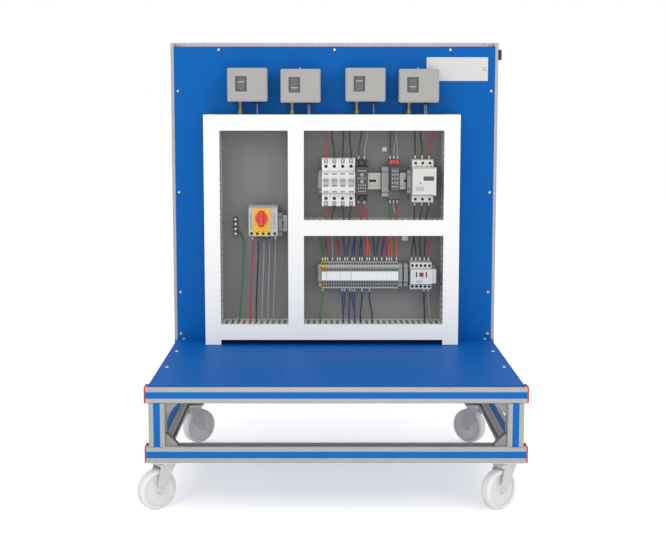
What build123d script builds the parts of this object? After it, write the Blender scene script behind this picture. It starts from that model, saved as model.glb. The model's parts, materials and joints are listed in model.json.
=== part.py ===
from build123d import *
import math
import os

# Refrigeration electrical trainer: a wheeled base of slotted aluminium profile with a blue shelf,
# an upright blue panel that carries four pressure switches, and a control cabinet of slotted
# wiring duct with its rail-mounted devices and their leads.
# Millimetres. X runs to the viewer's right, Y to the back, Z up. The origin is the middle of the
# footprint, on the floor.

os.makedirs("parts", exist_ok=True)

# Base frame
BASE_WIDTH = 700.0
BASE_DEPTH = 480.0
PROFILE = 30.0
LOWER_RAIL_Z = 93.0
LEG_LENGTH = 81.0
TOTAL_HEIGHT = 875.0
CAP_THICK = 3.0
SIDE_INSET = 5.0
SLOT_MOUTH = 12.0
SLOT_LIP = 2.2
SLOT_INNER = 18.0
SLOT_DEPTH = 8.5
SLOT_FLOOR = 8.0
BORE_RADIUS = 3.6
EDGE_BREAK = 1.2
STRIP_THICK = 2.6
BRACKET_LEG = 22.0
BRACKET_WIDTH = 16.0
BRACKET_WALL = 3.0
CATCH_SIZE = (8.0, 16.0, 22.0)
CATCH_DROP = 14.0

# Panels
SHEET = 3.0
PANEL_MARGIN = 7.0
PANEL_TOP_MARGIN = 8.0
SHELF_SIDE_MARGIN = 8.0
SHELF_FRONT_MARGIN = 4.0
PLATE_WIDTH = 131.0
PLATE_HEIGHT = 50.0
PLATE_THICK = 1.5
PLATE_X = 262.0
PLATE_DROP = 55.5

# Button head screws
SCREW_HEAD_RADIUS = 4.2
SCREW_HEAD_HEIGHT = 2.6
SCREW_TOP_RADIUS = 2.2
PANEL_SCREW_PITCH = 247.0
PANEL_SCREW_LEVELS = (246.0, 338.0, 556.0, 773.0)
SHELF_SCREW_INSETS = (328.0, 180.0, 48.0)
PLATE_SCREW_PITCH = 118.0

# Casters
WHEEL_RADIUS = 37.5
WHEEL_WIDTH = 22.0
WHEEL_SIDES = 48
HUB_RADIUS = 11.0
HUB_WIDTH = 25.0
AXLE_RADIUS = 4.0
AXLE_SIDES = 24
AXLE_CLEARANCE = 0.06
AXLE_NUT_RADIUS = 6.5
AXLE_NUT_THICK = 3.0
CASTER_TRAIL = 20.0
CASTER_INSET = 34.0
CASTER_PLATE = 60.0
CASTER_PLATE_THICK = 2.5
RACE_RADIUS = 21.0
RACE_HEIGHT = 5.0
CROWN_THICK = 3.0
CROWN_GAP = 0.4
KINGPIN_RADIUS = 5.0
KINGPIN_CLEARANCE = 0.06
KINGPIN_HEAD = 8.0
KINGPIN_HEAD_THICK = 2.0
PLATE_CORNER = 5.0
FORK_WALL = 2.5
FORK_SIDE_GAP = 0.4
FORK_TOP_WIDTH = 36.0
FORK_BOSS_RADIUS = 8.0
FORK_SHIFT = -2.0
AXLE_SEAT_CLEARANCE = 0.05
FRONT_YAW = 38.0

# Cabinet of wiring duct
CABINET_X = -6.0
CABINET_WIDTH = 535.0
CABINET_FOOT_GAP = 1.0
CABINET_DROP = 151.5
DUCT_WIDTH = 30.0
DUCT_DEPTH = 78.0
DUCT_WALL = 1.5
DUCT_SLOT_PITCH = 12.5
DUCT_SLOT = 5.0
DUCT_ROOT = 12.0
LID_WALL = 1.5
LID_SKIRT = 9.0
BOTTOM_DUCT_Z = 265.0
CROSS_DUCT_DROP = 236.7
CENTRE_DUCT_X = -81.2
BACKPLATE = 2.0
BACKPLATE_INSET = 4.0

# Mounting rails for the devices
RAIL_HEIGHT = 35.0
RAIL_DEPTH = 7.5
RAIL_WALL = 1.0
RAIL_TOP_HAT = 25.0
UPPER_RAIL_RISE = 94.2
LOWER_RAIL_OFFSET = 4.6
LEFT_RAIL_RISE = 3.2
RAIL_END_GAP = 6.0
RAIL_OVERHANG = 2.0

# Devices
BREAKER_PITCH = 17.6
BREAKER_WIDTH = 17.4
BREAKER_HEIGHT = 102.0
BREAKER_BODY_DEPTH = 44.0
BREAKER_NOSE_DEPTH = 60.0
BREAKER_NOSE_HEIGHT = 46.0
BREAKER_FIRST_X = -18.2
BREAKER_COUNT = 4
CLAMP_MOUTH = 9.0
CLAMP_MOUTH_HEIGHT = 11.0
CLAMP_MOUTH_DEPTH = 14.0
BREAKER_WELL_INSET = 17.0
TOGGLE_WIDTH = 9.0
TOGGLE_RADIUS = 8.0
TOGGLE_REACH = 15.0
TOGGLE_THICK = 4.0
TOGGLE_TILT = 38.0
TOGGLE_CLEARANCE = 0.5
TOGGLE_INSET = 3.0
WELL_RADIUS = 2.9
WELL_DEPTH = 4.0
CASE_BEVEL = 2.0
SWITCH_X = -151.0
SWITCH_WIDTH = 61.0
SWITCH_HEIGHT = 66.0
SWITCH_DEPTH = 56.0
SWITCH_STEP = 12.0
SWITCH_NOSE_HEIGHT = 62.0
SWITCH_RAISE = 8.0
SWITCH_POLES = 5
SWITCH_POLE_INSET = 6.0
SWITCH_WELL_INSET = 8.5
SWITCH_PLATE_WIDTH = 36.0
SWITCH_PLATE_HEIGHT = 48.0
SWITCH_PLATE_RAISE = 5.0
HANDLE_OFFSET = -3.0
HANDLE_RAISE = 16.0
HANDLE_RADIUS = 13.0
HANDLE_DEPTH = 20.0
HANDLE_FLANGE = 6.0
HANDLE_GRIP = 11.0
HANDLE_GRIP_LENGTH = 32.0
HANDLE_SHAFT = 4.0
HANDLE_SHAFT_DEPTH = 12.0
HANDLE_SHAFT_CLEARANCE = 0.06
HANDLE_GAP = 0.4
FACEPLATE_THICK = 3.0
TIMER_X = 57.2
TIMER_WIDTH = 24.6
TIMER_DEPTH = 66.0
TIMER_STEP = 16.0
TIMER_NOSE_HEIGHT = 62.0
RELAY_X = 126.6
RELAY_WIDTH = 23.0
RELAY_BASE_DEPTH = 26.0
RELAY_SEAT_DEPTH = 30.0
RELAY_SEAT_HEIGHT = 40.0
RELAY_CASE_WIDTH = 20.0
RELAY_CASE_DEPTH = 62.0
RELAY_CASE_HEIGHT = 52.0
RELAY_CASE_RAISE = 4.0
RELAY_HEIGHT = 85.0
RELAY_RAISE = 4.0
RELAY_WELL_INSET = 5.5
STARTER_X = 185.3
STARTER_WIDTH = 44.7
STARTER_HEIGHT = 90.0
STARTER_DEPTH = 70.0
STARTER_STEP = 18.0
STARTER_NOSE_HEIGHT = 58.0
STARTER_RAISE = 3.0
STARTER_SIDE_WIDTH = 4.7
STARTER_SIDE_DEPTH = 50.0
STARTER_WINDOW = (22.0, 9.0, 2.0)
STARTER_WINDOW_OFFSET = (11.3, 6.5)
STARTER_POLE_PITCH = 15.0
STARTER_WELL_INSET = 7.0
CONTACTOR_X = 183.5
CONTACTOR_WIDTH = 45.0
CONTACTOR_HEIGHT = 57.5
CONTACTOR_DEPTH = 65.0
CONTACTOR_STEP = 15.0
CONTACTOR_NOSE_HEIGHT = 34.0
CONTACTOR_RAISE = 1.5
CONTACTOR_POLES = 5
CONTACTOR_POLE_PITCH = 9.0
CONTACTOR_WELL_INSET = 6.25
PLUNGER_SIZE = 8.4
PLUNGER_CLEARANCE = 0.3
PLUNGER_HOLE_DEPTH = 12.0
PLUNGER_PROUD = 1.0
PLUNGER_RAISE = 5.0
PLUNGER_TRAVEL = 3.0
AUX_WIDTH = 9.5
AUX_DEPTHS = (14.0, 56.0)
AUX_HEIGHT = 30.0
TERMINAL_PITCH = 5.3
TERMINAL_GAP = 0.3
TERMINAL_COUNT = 29
EARTH_COUNT = 2
TERMINAL_HEIGHT = 58.0
TERMINAL_STEP_DEPTH = 28.0
TERMINAL_DEPTH = 40.0
TERMINAL_NOSE_HEIGHT = 34.0
STRIP_LEFT_X = -17.2
MARKER_BREAKS = (29.2, 52.6)
MARKER_GAP = 0.5
MARKER_HEIGHT = 18.0
MARKER_THICK = 2.0
CLAMP_GAP = 0.4
CLAMP_WIDTH = 8.5
STRIP_CLAMP_WIDTH = 5.5
RELAY_CLAMP_WIDTH = 14.5
RELAY_CLAMP_HEIGHT = 64.0
CLAMP_SPACING = 12.0
CLAMP_SHOULDER = 20.0
CLAMP_HEIGHT = 50.0
CLAMP_STEP_DEPTH = 28.0
CLAMP_DEPTH = 34.0
BAR_X = -213.0
BAR_WIDTH = 8.0
BAR_LEVELS = (463.0, 503.0)
BAR_DEPTH = 8.0
STUD_COUNT = 4
STUD_PITCH = 10.5
STUD_RADIUS = 3.0
STUD_THICK = 3.0

# Pressure switches
PRESSURE_XS = (-183.0, -71.5, 64.5, 176.5)
PRESSURE_RISES = (96.9, 94.7, 96.9, 94.7)
COVER_WIDTH = 84.0
COVER_HEIGHT = 70.0
COVER_DEPTH = 30.0
COVER_CORNER = 2.5
COVER_BEVEL = 2.0
HOUSING_DEPTH = 24.0
HOUSING_INSET = 3.0
FITTING_SETBACK = 15.0
STEM_RADIUS = 4.0
GLAND_HEIGHT = 6.0
GLAND_TOP_RADIUS = 8.5
GLAND_BEVEL = 3.0
SWITCH_SPACER = 4.0
FOOT_SIZE = (34.0, 44.0)
FOOT_OFFSET = -3.0
WINDOW_WIDTH = 24.0
WINDOW_HEIGHT = 32.0
WINDOW_DEPTH = 3.0
WINDOW_INSET = 17.0
SCALE_GAP = 0.5
SCALE_THICK = 1.5
FITTING_OFFSETS = (-17.4, -18.7)
GLAND_OFFSETS = (18.2, 16.6)
FITTING_NUT_RADIUS = 8.0
FITTING_NUT_HEIGHT = 5.0
FLARE_RADIUS = 6.4
FLARE_HEIGHT = 8.0
FITTING_END_GAP = 0.3
SPINDLE_RADIUS = 3.0
SPINDLE_HEIGHT = 3.2
SPINDLE_OFFSET = -1.5
SPINDLE_SETBACK = 8.0
SPINDLE_SLOT = 1.0
SPINDLE_SLOT_DEPTH = 1.0

# Leads
LEAD_RADIUS = 1.2
LEAD_ARC_SHARE = 0.45
LEAD_END_SHARE = 0.29
LEAD_END_RUN = 32.0
LEAD_MID_RUN = 50.0
LEAD_SWAY = 3.0
LEAD_LAYER = 3.4
LEAD_BOW = 5.0
LEAD_TAIL = 5.0
FERRULE_RADIUS = 1.7
FERRULE_LENGTH = 9.0
CABLE_HOLE_RADIUS = 5.0
GLAND_LEAD_SPREAD = 1.7
TERMINAL_TOP_LEADS = {
    "green": (-2, -1),
    "red": (0, 4, 5, 24),
    "grey": (2,),
    "blue": (7, 8, 10, 11, 13, 14, 19, 20, 22),
    "orange": (16, 17, 25, 26, 28),
}
EARTH_LEAD = (
    (4.8, -4.0, 8.0),
    (9.5, -4.0, 6.5),
    (15.0, -1.0, -4.0),
    (17.5, 4.0, -24.0),
    (17.0, 9.0, -62.0),
    (14.5, 11.0, -112.0),
    (9.0, 12.0, -160.0),
    (7.5, 12.0, -190.0),
)
TERMINAL_LOW_LEADS = {"green": (-2,), "blue": (6, 7, 9, 10, 11), "black": (14, 17)}

# Worked out from the sizes above
HALF_WIDTH = BASE_WIDTH / 2
PLATE_Z = TOTAL_HEIGHT - PLATE_DROP
CABINET_TOP = TOTAL_HEIGHT - CABINET_DROP
CROSS_DUCT_Z = CABINET_TOP - CROSS_DUCT_DROP
UPPER_RAIL_Z = CROSS_DUCT_Z + UPPER_RAIL_RISE
LOWER_RAIL_CENTRE_Z = (BOTTOM_DUCT_Z + CROSS_DUCT_Z) / 2 + LOWER_RAIL_OFFSET
LEFT_RAIL_Z = CROSS_DUCT_Z + LEFT_RAIL_RISE
FRONT_Y = -BASE_DEPTH / 2
BACK_Y = BASE_DEPTH / 2
RAIL_LENGTH = BASE_WIDTH - 2 * CAP_THICK
LEG_Z = LOWER_RAIL_Z + PROFILE
UPPER_RAIL_BASE = LEG_Z + LEG_LENGTH
SHELF_Z = UPPER_RAIL_BASE + PROFILE
SHELF_TOP = SHELF_Z + SHEET
SIDE_X = HALF_WIDTH - CAP_THICK - SIDE_INSET - PROFILE / 2
UPRIGHT_X = HALF_WIDTH - PROFILE / 2
PANEL_BACK = BACK_Y - PROFILE
PANEL_FRONT = PANEL_BACK - SHEET
PLATE_FRONT = PANEL_FRONT - BACKPLATE
LID_WIDTH = DUCT_WIDTH + 2 * LID_WALL
CABINET_FRONT = PLATE_FRONT - DUCT_DEPTH - LID_WALL
LEFT_DUCT_X = CABINET_X - CABINET_WIDTH / 2 + LID_WIDTH / 2
RIGHT_DUCT_X = CABINET_X + CABINET_WIDTH / 2 - LID_WIDTH / 2
TOP_DUCT_Z = CABINET_TOP - LID_WIDTH / 2
CABINET_BASE = SHELF_TOP + CABINET_FOOT_GAP
RAIL_FRONT = PLATE_FRONT - RAIL_DEPTH


def block(low, high):
    """A rectangular solid between two opposite corners."""
    size = [b - a for a, b in zip(low, high)]
    middle = [(a + b) / 2 for a, b in zip(low, high)]
    return Pos(*middle) * Box(*size)


def side_prism(points, x_low, x_high):
    """A prism along X from an outline given as (y, z) points."""
    face = make_face(Polyline(*[(x_low, y, z) for y, z in points], close=True))
    return extrude(face, amount=x_high - x_low, dir=(1, 0, 0))


def group(pieces):
    """Separate solids kept side by side in one node."""
    solids = []
    for piece in pieces:
        solids.extend(piece.solids())
    return Compound(solids)


def save(name, shape):
    export_step(shape, "parts/" + name + ".step")


# Slotted profile: square with broken corners, and a T slot in each face
def profile_section():
    half = PROFILE / 2
    body = chamfer(Rectangle(PROFILE, PROFILE).vertices(), EDGE_BREAK)
    mouth = SLOT_MOUTH / 2
    inner = SLOT_INNER / 2
    floor = SLOT_FLOOR / 2
    slot = make_face(
        Polyline(
            (-mouth, half + 1),
            (-mouth, half - SLOT_LIP),
            (-inner, half - SLOT_LIP),
            (-floor, half - SLOT_DEPTH),
            (floor, half - SLOT_DEPTH),
            (inner, half - SLOT_LIP),
            (mouth, half - SLOT_LIP),
            (mouth, half + 1),
            close=True,
        )
    )
    for turn in range(4):
        body -= Rot(0, 0, 90 * turn) * slot
    return body


SECTION = profile_section()
BORED_SECTION = SECTION - Circle(BORE_RADIUS)


def rail_x(x_low, x_high, y, z):
    """A length of profile along X, centred on y and z."""
    return Pos(x_low, y, z) * Rot(0, 90, 0) * extrude(SECTION, x_high - x_low)


def rail_y(y_low, y_high, x, z):
    return Pos(x, y_low, z) * Rot(-90, 0, 0) * extrude(SECTION, y_high - y_low)


def rail_z(z_low, z_high, x, y, section=SECTION):
    return Pos(x, y, z_low) * extrude(section, z_high - z_low)


RAIL_ENDS = (-RAIL_LENGTH / 2, RAIL_LENGTH / 2)
CROSS_YS = (FRONT_Y + PROFILE / 2, BACK_Y - PROFILE / 2)
LEVELS = (LOWER_RAIL_Z + PROFILE / 2, UPPER_RAIL_BASE + PROFILE / 2)
SIDE_SPAN = (FRONT_Y + PROFILE, BACK_Y - PROFILE)

cross_rails = []
end_caps = []
for cross_y in CROSS_YS:
    for level in LEVELS:
        cross_rails.append(rail_x(*RAIL_ENDS, cross_y, level))
        for side in (-1, 1):
            cap = Box(CAP_THICK, PROFILE, PROFILE)
            cap = chamfer(cap.edges().filter_by(Axis.X), EDGE_BREAK)
            end_caps.append(Pos(side * (HALF_WIDTH - CAP_THICK / 2), cross_y, level) * cap)
save("rail_end_caps", group(end_caps))

side_rails = []
legs = []
for side in (-1, 1):
    for level in LEVELS:
        side_rails.append(rail_y(*SIDE_SPAN, side * SIDE_X, level))
    for cross_y in CROSS_YS:
        legs.append(rail_z(LEG_Z, UPPER_RAIL_BASE, side * SIDE_X, cross_y))
save("base_rails", group(cross_rails + side_rails))
save("base_legs", group(legs))

uprights = []
for side in (-1, 1):
    uprights.append(rail_z(SHELF_Z, TOTAL_HEIGHT, side * UPRIGHT_X, BACK_Y - PROFILE / 2, BORED_SECTION))
TOP_RAIL_Z = TOTAL_HEIGHT - PROFILE / 2
top_rail = rail_x(-UPRIGHT_X + PROFILE / 2, UPRIGHT_X - PROFILE / 2, BACK_Y - PROFILE / 2, TOP_RAIL_Z)
save("back_frame_profiles", group(uprights + [top_rail]))


# Blue cover strips pressed into the slots that face outwards
half_mouth = SLOT_MOUTH / 2
strip_proud = STRIP_THICK - SLOT_LIP
strips = []
for level in LEVELS:
    for face_y, into in ((FRONT_Y, 1), (BACK_Y, -1)):
        ys = sorted((face_y - into * strip_proud, face_y + into * SLOT_LIP))
        strips.append(block((RAIL_ENDS[0], ys[0], level - half_mouth), (RAIL_ENDS[1], ys[1], level + half_mouth)))
    for side in (-1, 1):
        face_x = side * (SIDE_X + PROFILE / 2)
        xs = sorted((face_x + side * strip_proud, face_x - side * SLOT_LIP))
        strips.append(block((xs[0], SIDE_SPAN[0], level - half_mouth), (xs[1], SIDE_SPAN[1], level + half_mouth)))
for side in (-1, 1):
    for face_y, into in ((FRONT_Y, 1), (BACK_Y, -1)):
        ys = sorted((face_y - into * strip_proud, face_y + into * SLOT_LIP))
        strips.append(
            block((side * SIDE_X - half_mouth, ys[0], LEG_Z), (side * SIDE_X + half_mouth, ys[1], UPPER_RAIL_BASE))
        )
    top_z = LOWER_RAIL_Z + PROFILE
    strips.append(
        block(
            (side * SIDE_X - half_mouth, SIDE_SPAN[0], top_z - SLOT_LIP),
            (side * SIDE_X + half_mouth, SIDE_SPAN[1], top_z + strip_proud),
        )
    )
save("slot_strips", group(strips))


# Die-cast angle brackets in the inner corners, and a catch on the right upright
def bracket(x, y, z, x_sign, z_sign):
    """An angle with two gussets, its corner at (x, y, z), legs towards x_sign and z_sign."""
    leg = BRACKET_LEG
    wall = BRACKET_WALL
    half = BRACKET_WIDTH / 2
    outline = [(0, 0), (leg, 0), (leg, wall), (wall, leg), (0, leg)]
    angle = make_face(Polyline(*[(x + x_sign * a, y - half, z + z_sign * b) for a, b in outline], close=True))
    solid = extrude(angle, amount=BRACKET_WIDTH, dir=(0, 1, 0))
    inner = [(wall, wall), (leg - wall, wall), (wall, leg - wall)]
    pocket = make_face(
        Polyline(*[(x + x_sign * a, y - half + wall, z + z_sign * b) for a, b in inner], close=True)
    )
    return solid - extrude(pocket, amount=BRACKET_WIDTH - 2 * wall, dir=(0, 1, 0))


brackets = []
for side in (-1, 1):
    inner_leg = side * (SIDE_X - PROFILE / 2)
    for cross_y in CROSS_YS:
        brackets.append(bracket(inner_leg, cross_y, UPPER_RAIL_BASE, -side, -1))
        brackets.append(bracket(inner_leg, cross_y, LEG_Z, -side, 1))
    upright_face = side * (UPRIGHT_X - PROFILE / 2)
    brackets.append(bracket(upright_face, BACK_Y - PROFILE / 2, TOTAL_HEIGHT - PROFILE, -side, -1))
    brackets.append(bracket(upright_face, BACK_Y - PROFILE / 2, SHELF_Z, -side, 1))
catch_top = TOTAL_HEIGHT - CATCH_DROP
catch = block(
    (HALF_WIDTH, BACK_Y - PROFILE / 2 - CATCH_SIZE[1] / 2, catch_top - CATCH_SIZE[2]),
    (HALF_WIDTH + CATCH_SIZE[0], BACK_Y - PROFILE / 2 + CATCH_SIZE[1] / 2, catch_top),
)
catch = chamfer(catch.edges().filter_by(Axis.Y).sort_by(Axis.X)[-2:], 2)
save("frame_brackets", group(brackets))
save("upright_catch", catch)

# Blue sheet panels
shelf_half = HALF_WIDTH - SHELF_SIDE_MARGIN
save(
    "shelf_panel",
    block((-shelf_half, FRONT_Y + SHELF_FRONT_MARGIN, SHELF_Z), (shelf_half, PANEL_BACK, SHELF_TOP)),
)
panel_half = HALF_WIDTH - PANEL_MARGIN
save(
    "back_panel",
    block((-panel_half, PANEL_FRONT, SHELF_TOP), (panel_half, PANEL_BACK, TOTAL_HEIGHT - PANEL_TOP_MARGIN)),
)
save(
    "name_plate",
    block(
        (PLATE_X - PLATE_WIDTH / 2, PANEL_FRONT - PLATE_THICK, PLATE_Z - PLATE_HEIGHT / 2),
        (PLATE_X + PLATE_WIDTH / 2, PANEL_FRONT, PLATE_Z + PLATE_HEIGHT / 2),
    ),
)


def screw_head():
    """A domed head, its seat at z = 0."""
    slope = math.degrees(math.atan((SCREW_HEAD_RADIUS - SCREW_TOP_RADIUS) / SCREW_HEAD_HEIGHT))
    return extrude(RegularPolygon(SCREW_HEAD_RADIUS, 8), SCREW_HEAD_HEIGHT, taper=slope)


HEAD = screw_head()
screws = []
for side in (-1, 1):
    for level in PANEL_SCREW_LEVELS:
        screws.append(Pos(side * UPRIGHT_X, PANEL_FRONT, level) * Rot(90, 0, 0) * HEAD)
    for inset in SHELF_SCREW_INSETS:
        screws.append(Pos(side * SIDE_X, BACK_Y - inset, SHELF_TOP) * HEAD)
    plate_screw_x = PLATE_X + side * PLATE_SCREW_PITCH / 2
    screws.append(Pos(plate_screw_x, PANEL_FRONT - PLATE_THICK, PLATE_Z) * Rot(90, 0, 0) * HEAD)
for column in (-1, 0, 1):
    screws.append(Pos(column * PANEL_SCREW_PITCH, PANEL_FRONT, TOP_RAIL_Z) * Rot(90, 0, 0) * HEAD)
save("button_head_screws", group(screws))


# Casters: plate with its race, swivelling fork, axle bolt and plastic wheel
WHEEL_Z = WHEEL_RADIUS
RACE_TOP = LOWER_RAIL_Z - CASTER_PLATE_THICK
CROWN_TOP = RACE_TOP - RACE_HEIGHT - CROWN_GAP
FORK_INSIDE = HUB_WIDTH / 2 + FORK_SIDE_GAP
KINGPIN_BASE = CROWN_TOP - CROWN_THICK - CROWN_GAP


def caster_plate():
    """Fixed part: top plate, upper race and king pin, in the swivel axis's own place."""
    plate = Pos(0, 0, RACE_TOP + CASTER_PLATE_THICK / 2) * Box(CASTER_PLATE, CASTER_PLATE, CASTER_PLATE_THICK)
    plate = chamfer(plate.edges().filter_by(Axis.Z), PLATE_CORNER)
    race = Pos(0, 0, RACE_TOP - RACE_HEIGHT) * extrude(RegularPolygon(RACE_RADIUS, 16), RACE_HEIGHT)
    pin_height = RACE_TOP - KINGPIN_BASE
    pin = Pos(0, 0, KINGPIN_BASE + pin_height / 2) * Cylinder(KINGPIN_RADIUS, pin_height)
    head = Pos(0, 0, KINGPIN_BASE - KINGPIN_HEAD_THICK) * extrude(RegularPolygon(KINGPIN_HEAD, 6), KINGPIN_HEAD_THICK)
    return plate + race + pin + head


def caster_fork():
    """Crown with two tapering cheeks; the wheel trails towards -X."""
    bridge_half = FORK_INSIDE + FORK_WALL
    left = FORK_SHIFT - FORK_TOP_WIDTH / 2
    right = FORK_SHIFT + FORK_TOP_WIDTH / 2
    crown = block((left, -bridge_half, CROWN_TOP - CROWN_THICK), (right, bridge_half, CROWN_TOP))
    crown = chamfer(crown.edges().filter_by(Axis.Z), FORK_WALL)
    cheek = [(left + FORK_WALL, CROWN_TOP), (right - FORK_WALL, CROWN_TOP)]
    for angle in range(0, -181, -45):
        around = math.radians(angle)
        cheek.append(
            (FORK_BOSS_RADIUS * math.cos(around) - CASTER_TRAIL, WHEEL_Z + FORK_BOSS_RADIUS * math.sin(around))
        )
    for side in (-1, 1):
        y_start = FORK_INSIDE if side > 0 else -bridge_half
        face = make_face(Polyline(*[(x, y_start, z) for x, z in cheek], close=True))
        crown += extrude(face, amount=FORK_WALL, dir=(0, 1, 0))
    crown -= Pos(0, 0, CROWN_TOP) * Cylinder(KINGPIN_RADIUS + KINGPIN_CLEARANCE, 4 * CROWN_THICK)
    bolt = extrude(RegularPolygon(AXLE_RADIUS + AXLE_SEAT_CLEARANCE, 12, major_radius=False), 2 * bridge_half, both=True)
    return crown - Pos(-CASTER_TRAIL, 0, WHEEL_Z) * Rot(90, 0, 0) * bolt


def caster_axle():
    half = FORK_INSIDE + FORK_WALL
    shaft = extrude(RegularPolygon(AXLE_RADIUS, AXLE_SIDES), half, both=True)
    for side in (-1, 1):
        nut = extrude(RegularPolygon(AXLE_NUT_RADIUS, 6), AXLE_NUT_THICK / 2, both=True)
        shaft += Pos(0, 0, side * (half + AXLE_NUT_THICK / 2)) * nut
    return Pos(-CASTER_TRAIL, 0, WHEEL_Z) * Rot(90, 0, 0) * shaft


def caster_wheel():
    """Moulded wheel: a round tread with a hub standing out of each side, and its bore."""
    half = WHEEL_WIDTH / 2
    hub = HUB_WIDTH / 2
    bore = AXLE_RADIUS + AXLE_CLEARANCE
    tread = extrude(RegularPolygon(WHEEL_RADIUS, WHEEL_SIDES), half, both=True)
    boss = extrude(RegularPolygon(HUB_RADIUS, 12), hub, both=True)
    wheel = tread + boss - Cylinder(bore, 2 * HUB_WIDTH)
    return Pos(-CASTER_TRAIL, 0, WHEEL_Z) * Rot(90, 0, 0) * wheel


CASTER_X = HALF_WIDTH - CASTER_INSET
CASTER_Y = BASE_DEPTH / 2 - CASTER_INSET
CASTERS = {
    "front_left": (-CASTER_X, -CASTER_Y, FRONT_YAW),
    "front_right": (CASTER_X, -CASTER_Y, FRONT_YAW),
    "rear_left": (-CASTER_X, CASTER_Y, 180 + FRONT_YAW),
    "rear_right": (CASTER_X, CASTER_Y, -FRONT_YAW),
}
plates = []
for name, (x, y, yaw) in CASTERS.items():
    place = Pos(x, y, 0)
    plates.append(place * caster_plate())
    save(name + "_caster_fork", place * Rot(0, 0, yaw) * caster_fork())
    save(name + "_caster_axle", place * Rot(0, 0, yaw) * caster_axle())
    save(name + "_caster_wheel", place * Rot(0, 0, yaw) * caster_wheel())
save("caster_plates", group(plates))

# Cabinet: backplate, slotted ducts and their snap-on lids
cabinet_low = LEFT_DUCT_X - DUCT_WIDTH / 2 + BACKPLATE_INSET
cabinet_high = RIGHT_DUCT_X + DUCT_WIDTH / 2 - BACKPLATE_INSET
save(
    "cabinet_backplate",
    block(
        (cabinet_low, PLATE_FRONT, CABINET_BASE),
        (cabinet_high, PANEL_FRONT, CABINET_TOP - BACKPLATE_INSET),
    ),
)


def slot_centres(length):
    """Slot centres along a duct of this length, measured from its start."""
    count = int((length - DUCT_SLOT_PITCH) / DUCT_SLOT_PITCH) + 1
    first = (length - (count - 1) * DUCT_SLOT_PITCH) / 2
    return [first + i * DUCT_SLOT_PITCH for i in range(count)]


def comb(length, slots):
    """A duct wall drawn flat: a comb of fingers, with the root at y = 0."""
    points = [(0, 0), (length, 0), (length, DUCT_DEPTH)]
    for centre in reversed(slots):
        points += [
            (centre + DUCT_SLOT / 2, DUCT_DEPTH),
            (centre + DUCT_SLOT / 2, DUCT_ROOT),
            (centre - DUCT_SLOT / 2, DUCT_ROOT),
            (centre - DUCT_SLOT / 2, DUCT_DEPTH),
        ]
    points.append((0, DUCT_DEPTH))
    return extrude(make_face(Polyline(*points, close=True)), DUCT_WALL)


def duct(length, left_slots, right_slots):
    """A duct along X from 0, centred on Z, its floor at y = 0 and its mouth towards -Y."""
    half = DUCT_WIDTH / 2
    body = block((0, -DUCT_WALL, -half), (length, 0, half))
    upper = Rot(180, 0, 0) * comb(length, left_slots)
    body += Pos(0, 0, half) * upper
    body += Pos(0, 0, -half + DUCT_WALL) * Rot(180, 0, 0) * comb(length, right_slots)
    return body


def lid(length):
    half = LID_WIDTH / 2
    front = -DUCT_DEPTH - LID_WALL
    outer = block((0, front, -half), (length, front + LID_SKIRT, half))
    return outer - block((-1, -DUCT_DEPTH, -DUCT_WIDTH / 2), (length + 1, 0, DUCT_WIDTH / 2))


def level_duct(shape, x, z):
    return Pos(x, PLATE_FRONT, z) * shape


def upright_duct(shape, x, z):
    """The same shape stood on end: its local +Z turns to -X."""
    return Pos(x, PLATE_FRONT, z) * Rot(0, -90, 0) * shape


HALF_LID = LID_WIDTH / 2
UPRIGHT_LENGTH = CABINET_TOP - CABINET_BASE
LEVEL_LOW = LEFT_DUCT_X + HALF_LID
LEVEL_LENGTH = RIGHT_DUCT_X - HALF_LID - LEVEL_LOW
CENTRE_LOW = BOTTOM_DUCT_Z + HALF_LID
CENTRE_LENGTH = TOP_DUCT_Z - HALF_LID - CENTRE_LOW
CROSS_LOW = CENTRE_DUCT_X + HALF_LID
CROSS_LENGTH = RIGHT_DUCT_X - HALF_LID - CROSS_LOW
upright_slots = slot_centres(UPRIGHT_LENGTH)
level_slots = slot_centres(LEVEL_LENGTH)
centre_slots = slot_centres(CENTRE_LENGTH)
cross_slots = slot_centres(CROSS_LENGTH)


def inside_slots(slots, start, low, high):
    """Only the slots that open between low and high, so none is cut where another duct butts."""
    return [s for s in slots if low + DUCT_SLOT < start + s < high - DUCT_SLOT]


open_uprights = inside_slots(upright_slots, CABINET_BASE, CENTRE_LOW, CENTRE_LOW + CENTRE_LENGTH)
right_uprights = inside_slots(open_uprights, CABINET_BASE, CENTRE_LOW, CROSS_DUCT_Z - HALF_LID)
right_uprights += inside_slots(open_uprights, CABINET_BASE, CROSS_DUCT_Z + HALF_LID, CABINET_TOP)
open_levels = inside_slots(level_slots, LEVEL_LOW, LEVEL_LOW, CENTRE_DUCT_X - HALF_LID)
open_levels += inside_slots(level_slots, LEVEL_LOW, CENTRE_DUCT_X + HALF_LID, LEVEL_LOW + LEVEL_LENGTH)
right_centres = inside_slots(centre_slots, CENTRE_LOW, CENTRE_LOW, CROSS_DUCT_Z - HALF_LID)
right_centres += inside_slots(centre_slots, CENTRE_LOW, CROSS_DUCT_Z + HALF_LID, CABINET_TOP)

GLAND_XS = [x + GLAND_OFFSETS[index % 2] for index, x in enumerate(PRESSURE_XS)]
FITTING_Y = PANEL_FRONT - SWITCH_SPACER - FITTING_SETBACK


def cable_holes():
    """Holes in the top duct's upper wall, one under each pressure switch's gland."""
    drill = Pos(0, 0, TOP_DUCT_Z) * extrude(RegularPolygon(CABLE_HOLE_RADIUS, 8), DUCT_WIDTH)
    return [Pos(x, FITTING_Y, 0) * drill for x in GLAND_XS]


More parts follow.
